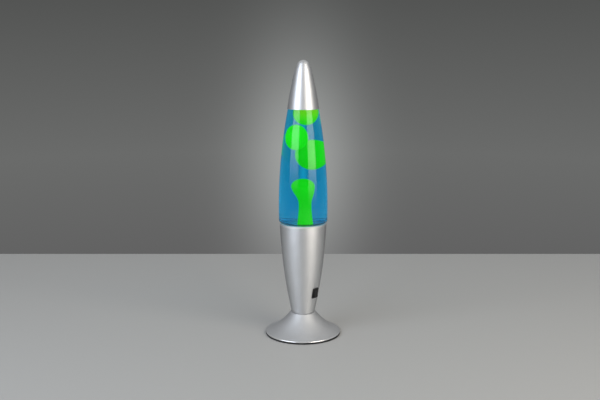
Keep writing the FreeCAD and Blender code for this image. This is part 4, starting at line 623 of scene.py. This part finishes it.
# about how many lumps a radius spans, and the share of the swell by which the skin sinks on the whole
waxSkin = {"subdivisions": 6, "lumps": 0.9, "inside": 0.5}
for name, blob in freeWax.items():
    low, high = (Vector(corner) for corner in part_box(blob["node"]))
    middle = (low + high) / 2 + Vector((blob["shiftMm"] * mm, 0, 0))
    half = (high - low) / 2 * Vector((blob["width"], 1, 1))
    bm = bmesh.new()
    bmesh.ops.create_icosphere(bm, subdivisions=waxSkin["subdivisions"], radius=1.0)
    for vert in bm.verts:
        way = vert.co.normalized()
        lump = noise.noise(way * waxSkin["lumps"] + Vector((blob["seed"], 0, 0)))
        vert.co = middle + way * half * (1.0 + blob["swell"] * (lump - waxSkin["inside"]))
    piece = meshObject(name, bm, moltenWax)
    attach(piece, blob["body"])
    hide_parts(blob["node"])

# Wax column, in millimetres: stations of (height over the glass floor, middle to the right, half width).
# Its skin swells by a share of the half width, in lumps that change round it and, over lumpHeight, on the
# way up.
waxColumn = {
    "stations": [
        (-0.1, 2.3, 8.6), (3, 2.3, 8.3), (9, 2.24, 7.8), (21, 2.08, 7.0), (29, 2.0, 6.75), (36.6, 1.87, 7.1),
        (43.1, 1.5, 8.9), (49, 0.7, 11.0), (55.5, 0.0, 12.3), (59.5, -0.15, 12.1), (63.5, -0.15, 10.2),
        (66.6, -0.1, 6.9), (68.0, -0.1, 3.6), (68.5, -0.1, 0.0),
    ],
    "rings": 90, "around": 96, "swell": 0.03, "lumps": 0.8, "lumpHeight": 22, "seed": 3.1,
}
stations = waxColumn["stations"]
columnFloor = bottle["bottom"] + bottle["floor"]


# a smooth curve through the stations, as (height, middle, half width) at a share of the way
def columnAt(share):
    spans = len(stations) - 1
    at = min(int(share * spans), spans - 1)
    inner = share * spans - at
    p0, p1, p2, p3 = (Vector(stations[min(max(at + shift, 0), spans)]) for shift in (-1, 0, 1, 2))
    return 0.5 * ((2 * p1) + (p2 - p0) * inner + (2 * p0 - 5 * p1 + 4 * p2 - p3) * inner ** 2
                  + (3 * p1 - p0 - 3 * p2 + p3) * inner ** 3)


# one vertex on the column's middle line, where it starts and where it ends
def columnPole(bm, station):
    height, middle = station[:2]
    return [bm.verts.new((middle * mm, 0, (columnFloor + height) * mm))]


bm = bmesh.new()
columnRings = [columnPole(bm, stations[0])]
for step in range(waxColumn["rings"]):
    height, middle, half = columnAt(step / waxColumn["rings"])
    ring = []
    for at in range(waxColumn["around"]):
        turn = 2 * math.pi * at / waxColumn["around"]
        way = Vector((math.cos(turn), math.sin(turn), 0))
        drift = Vector((waxColumn["seed"], 0, height / waxColumn["lumpHeight"]))
        reach = half * (1 + waxColumn["swell"] * noise.noise(way * waxColumn["lumps"] + drift))
        ring.append(bm.verts.new(((middle + way.x * reach) * mm, way.y * reach * mm,
                                  (columnFloor + height) * mm)))
    columnRings.append(ring)
columnRings.append(columnPole(bm, stations[-1]))
bridgeRings(bm, columnRings)
columnPiece = meshObject("waxColumn", bm, moltenWax)
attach(columnPiece, "bottle")
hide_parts("wax_column")
print("wax made")

# Studio: pale table, a grey wall behind the lamp with a painted pool of light close to the lamp, a grey
# room with a paler ceiling, and two upright soft boxes. Sizes in metres unless a name says otherwise,
# colours as seen.
studio = {
    "tableDepth": 0.478, "tableReach": 3.0, "table": "#a2a2a0", "tableRough": 0.6,
    "speckMm": 3, "speckBumpMm": 0.1, "speckBump": 0.05,
    # the room, by the height of a direction: where its shade starts to rise and where the ceiling is
    "roomHeights": (0.05, 0.7), "roomShades": ("#737475", "#cacbcc"),
    # the wall's shades by the height of a direction, from low to high
    "wall": ((-0.24, "#626262"), (-0.12, "#6a6b6a"), (0.06, "#535453")),
    # the painted pool of light on it: its middle (right, height) and its spread, both as directions, and
    # what it adds
    "patchMiddle": (0.0, -0.136), "patchWidth": (0.045, 0.094), "patchLight": "#808281",
    # how far the wall reaches round the lamp, by a direction's rearward part, and up, by its height
    "wallSide": (0.45, 0.90), "wallTop": (0.22, 0.07),
}
# Each soft box: its direction round the lamp, in degrees from the front, then its distance, the height of
# its middle and its size. Fades are the shares of it over which its light fades at its sides, its foot
# and its head.
softBoxes = {
    "leftBox": dict(azimuth=-46.5, distance=1.1, middle=0.91, width=1.0, length=1.70, radiance=2.9,
                    colour="#eaf2ff", fades=(0.10, 0.23, 0.40)),
    "rightBox": dict(azimuth=45.0, distance=1.1, middle=0.86, width=0.93, length=1.80, radiance=3.0,
                     colour="#fff8ee", fades=(0.10, 0.23, 0.40)),
}

tableMaterial = newMaterial("paleTable")
tablePlace = addNode(tableMaterial, "TexCoord").outputs["Object"]
tableSpeck = addNode(tableMaterial, "TexNoise", {"Scale": perMetre(studio["speckMm"]), "Detail": 2.0},
                     {"Vector": tablePlace})
tableBump = addNode(tableMaterial, "Bump",
                    {"Strength": studio["speckBump"], "Distance": studio["speckBumpMm"] * mm},
                    {"Height": tableSpeck.outputs["Fac"]})
finishMaterial(tableMaterial, {"Base Color": linear(studio["table"]), "Roughness": studio["tableRough"]},
               {"Normal": tableBump.outputs[0]})
bm = bmesh.new()
reach, depth = studio["tableReach"], studio["tableDepth"]
tableCorners = ((-reach, -reach, 0), (reach, -reach, 0), (reach, depth, 0), (-reach, depth, 0))
bm.faces.new([bm.verts.new(corner) for corner in tableCorners])
table = meshObject("table", bm, tableMaterial)


# The wall is what the camera, mirrors and glass see; matt surfaces are lit by the plain room all round
def makeWall():
    world = bpy.data.worlds.new("greyWall")
    world.use_nodes = True
    world.node_tree.nodes.clear()
    way = addNode(world, "TexCoord").outputs["Generated"]
    parts = addNode(world, "SeparateXYZ", {}, {0: way})
    shades = colourAlong(world, parts.outputs["Z"], studio["wall"])
    right, height = studio["patchMiddle"]
    across, upright = studio["patchWidth"]
    offset = addNode(world, "VectorMath", {"operation": "SUBTRACT", 1: (right, 0, height)}, {0: way})
    scaled = addNode(world, "VectorMath", {"operation": "MULTIPLY", 1: (1 / across, 0, 1 / upright)},
                     {0: offset.outputs[0]})
    # the patch fades as a bell: e to the power of minus half the squared way from its middle
    squared = addNode(world, "VectorMath", {"operation": "DOT_PRODUCT"},
                      {0: scaled.outputs[0], 1: scaled.outputs[0]})
    halved = addNode(world, "Math", {"operation": "MULTIPLY", 1: -0.5}, {0: squared.outputs["Value"]})
    bell = addNode(world, "Math", {"operation": "EXPONENT"}, {0: halved.outputs[0]})
    # the painted pool of light is added onto the wall's shades
    wall = addNode(world, "Mix", {"data_type": "RGBA", "blend_type": "ADD",
                                  colourTo: linear(studio["patchLight"])},
                   {mixShare: bell.outputs[0], colourFrom: shades})
    reach = []
    for axis, (none, whole) in (("Y", studio["wallSide"]), ("Z", studio["wallTop"])):
        reach.append(addNode(world, "MapRange", {"interpolation_type": "SMOOTHSTEP", "From Min": none,
                                                 "From Max": whole}, {"Value": parts.outputs[axis]}))
    behind = addNode(world, "Math", {"operation": "MULTIPLY"},
                     {0: reach[0].outputs[0], 1: reach[1].outputs[0]})
    path = addNode(world, "LightPath")
    seen = path.outputs["Is Camera Ray"]
    for kind in ("Is Glossy Ray", "Is Transmission Ray"):
        seen = addNode(world, "Math", {"operation": "MAXIMUM"}, {0: seen, 1: path.outputs[kind]}).outputs[0]
    share = addNode(world, "Math", {"operation": "MULTIPLY"}, {0: seen, 1: behind.outputs[0]})
    horizon, ceiling = studio["roomHeights"]
    rise = addNode(world, "MapRange",
                   {"interpolation_type": "SMOOTHSTEP", "From Min": horizon, "From Max": ceiling},
                   {"Value": parts.outputs["Z"]})
    room = addNode(world, "Mix", {"data_type": "RGBA", colourFrom: linear(studio["roomShades"][0]),
                                  colourTo: linear(studio["roomShades"][1])}, {mixShare: rise.outputs[0]})
    level = addNode(world, "Mix", {"data_type": "RGBA"},
                    {mixShare: share.outputs[0], colourFrom: room.outputs[colourMixed],
                     colourTo: wall.outputs[colourMixed]})
    background = addNode(world, "Background", {"Strength": 1.0}, {"Color": level.outputs[colourMixed]})
    addNode(world, "OutputWorld", {}, {"Surface": background.outputs[0]})
    return world


bpy.context.scene.world = makeWall()

wattsPerRadiance = 4  # an area lamp's radiance is its watts over this times its area


# A soft box: its light fades towards its sides and its ends, as through real diffusion cloth
def makeSoftBox(name, azimuth, distance, middle, width, length, radiance, colour, fades):
    light = bpy.data.lights.new(name, "AREA")
    light.shape = "RECTANGLE"
    light.size = width
    light.size_y = length
    light.energy = radiance * wattsPerRadiance * width * length
    light.color = linear(colour)[:3]
    light.use_nodes = True
    cloth = light.node_tree.nodes["Emission"]
    parts = addNode(light, "SeparateXYZ", {}, {0: addNode(light, "NewGeometry").outputs["Parametric"]})
    side, foot, head = fades
    strength = None
    for axis, edge, full in (("X", 0, side), ("X", 1, 1 - side), ("Y", 0, foot), ("Y", 1, 1 - head)):
        fade = addNode(light, "MapRange",
                       {"interpolation_type": "SMOOTHSTEP", "From Min": edge, "From Max": full},
                       {"Value": parts.outputs[axis]})
        if strength:
            fade = addNode(light, "Math", {"operation": "MULTIPLY"},
                           {0: fade.outputs[0], 1: strength.outputs[0]})
        strength = fade
    light.node_tree.links.new(strength.outputs[0], cloth.inputs["Strength"])
    lamp = bpy.data.objects.new(name, light)
    bpy.context.scene.collection.objects.link(lamp)
    turn = math.radians(azimuth)
    lamp.location = (distance * math.sin(turn), -distance * math.cos(turn), middle)
    lamp.rotation_euler = (math.radians(90), 0, turn)
    lamp.visible_camera = False
    lamp.visible_transmission = False  # so it doesn't show through the bottle either


for name, box in softBoxes.items():
    makeSoftBox(name, **box)

# Camera at the photograph's place: lens and sensor in millimetres, places in metres, and degrees downward
view = {"lens": 50.0, "sensor": 36.0, "down": 10.2, "distance": 1.176, "height": 0.4094, "right": -0.0045}
camera = bpy.data.objects.new("camera", bpy.data.cameras.new("camera"))
bpy.context.scene.collection.objects.link(camera)
camera.data.lens = view["lens"]
camera.data.sensor_width = view["sensor"]
camera.location = (view["right"], -view["distance"], view["height"])
camera.rotation_euler = (math.radians(90 - view["down"]), 0, 0)
bpy.context.scene.camera = camera
bpy.context.scene.view_settings.view_transform = "Standard"
print("studio and camera placed")
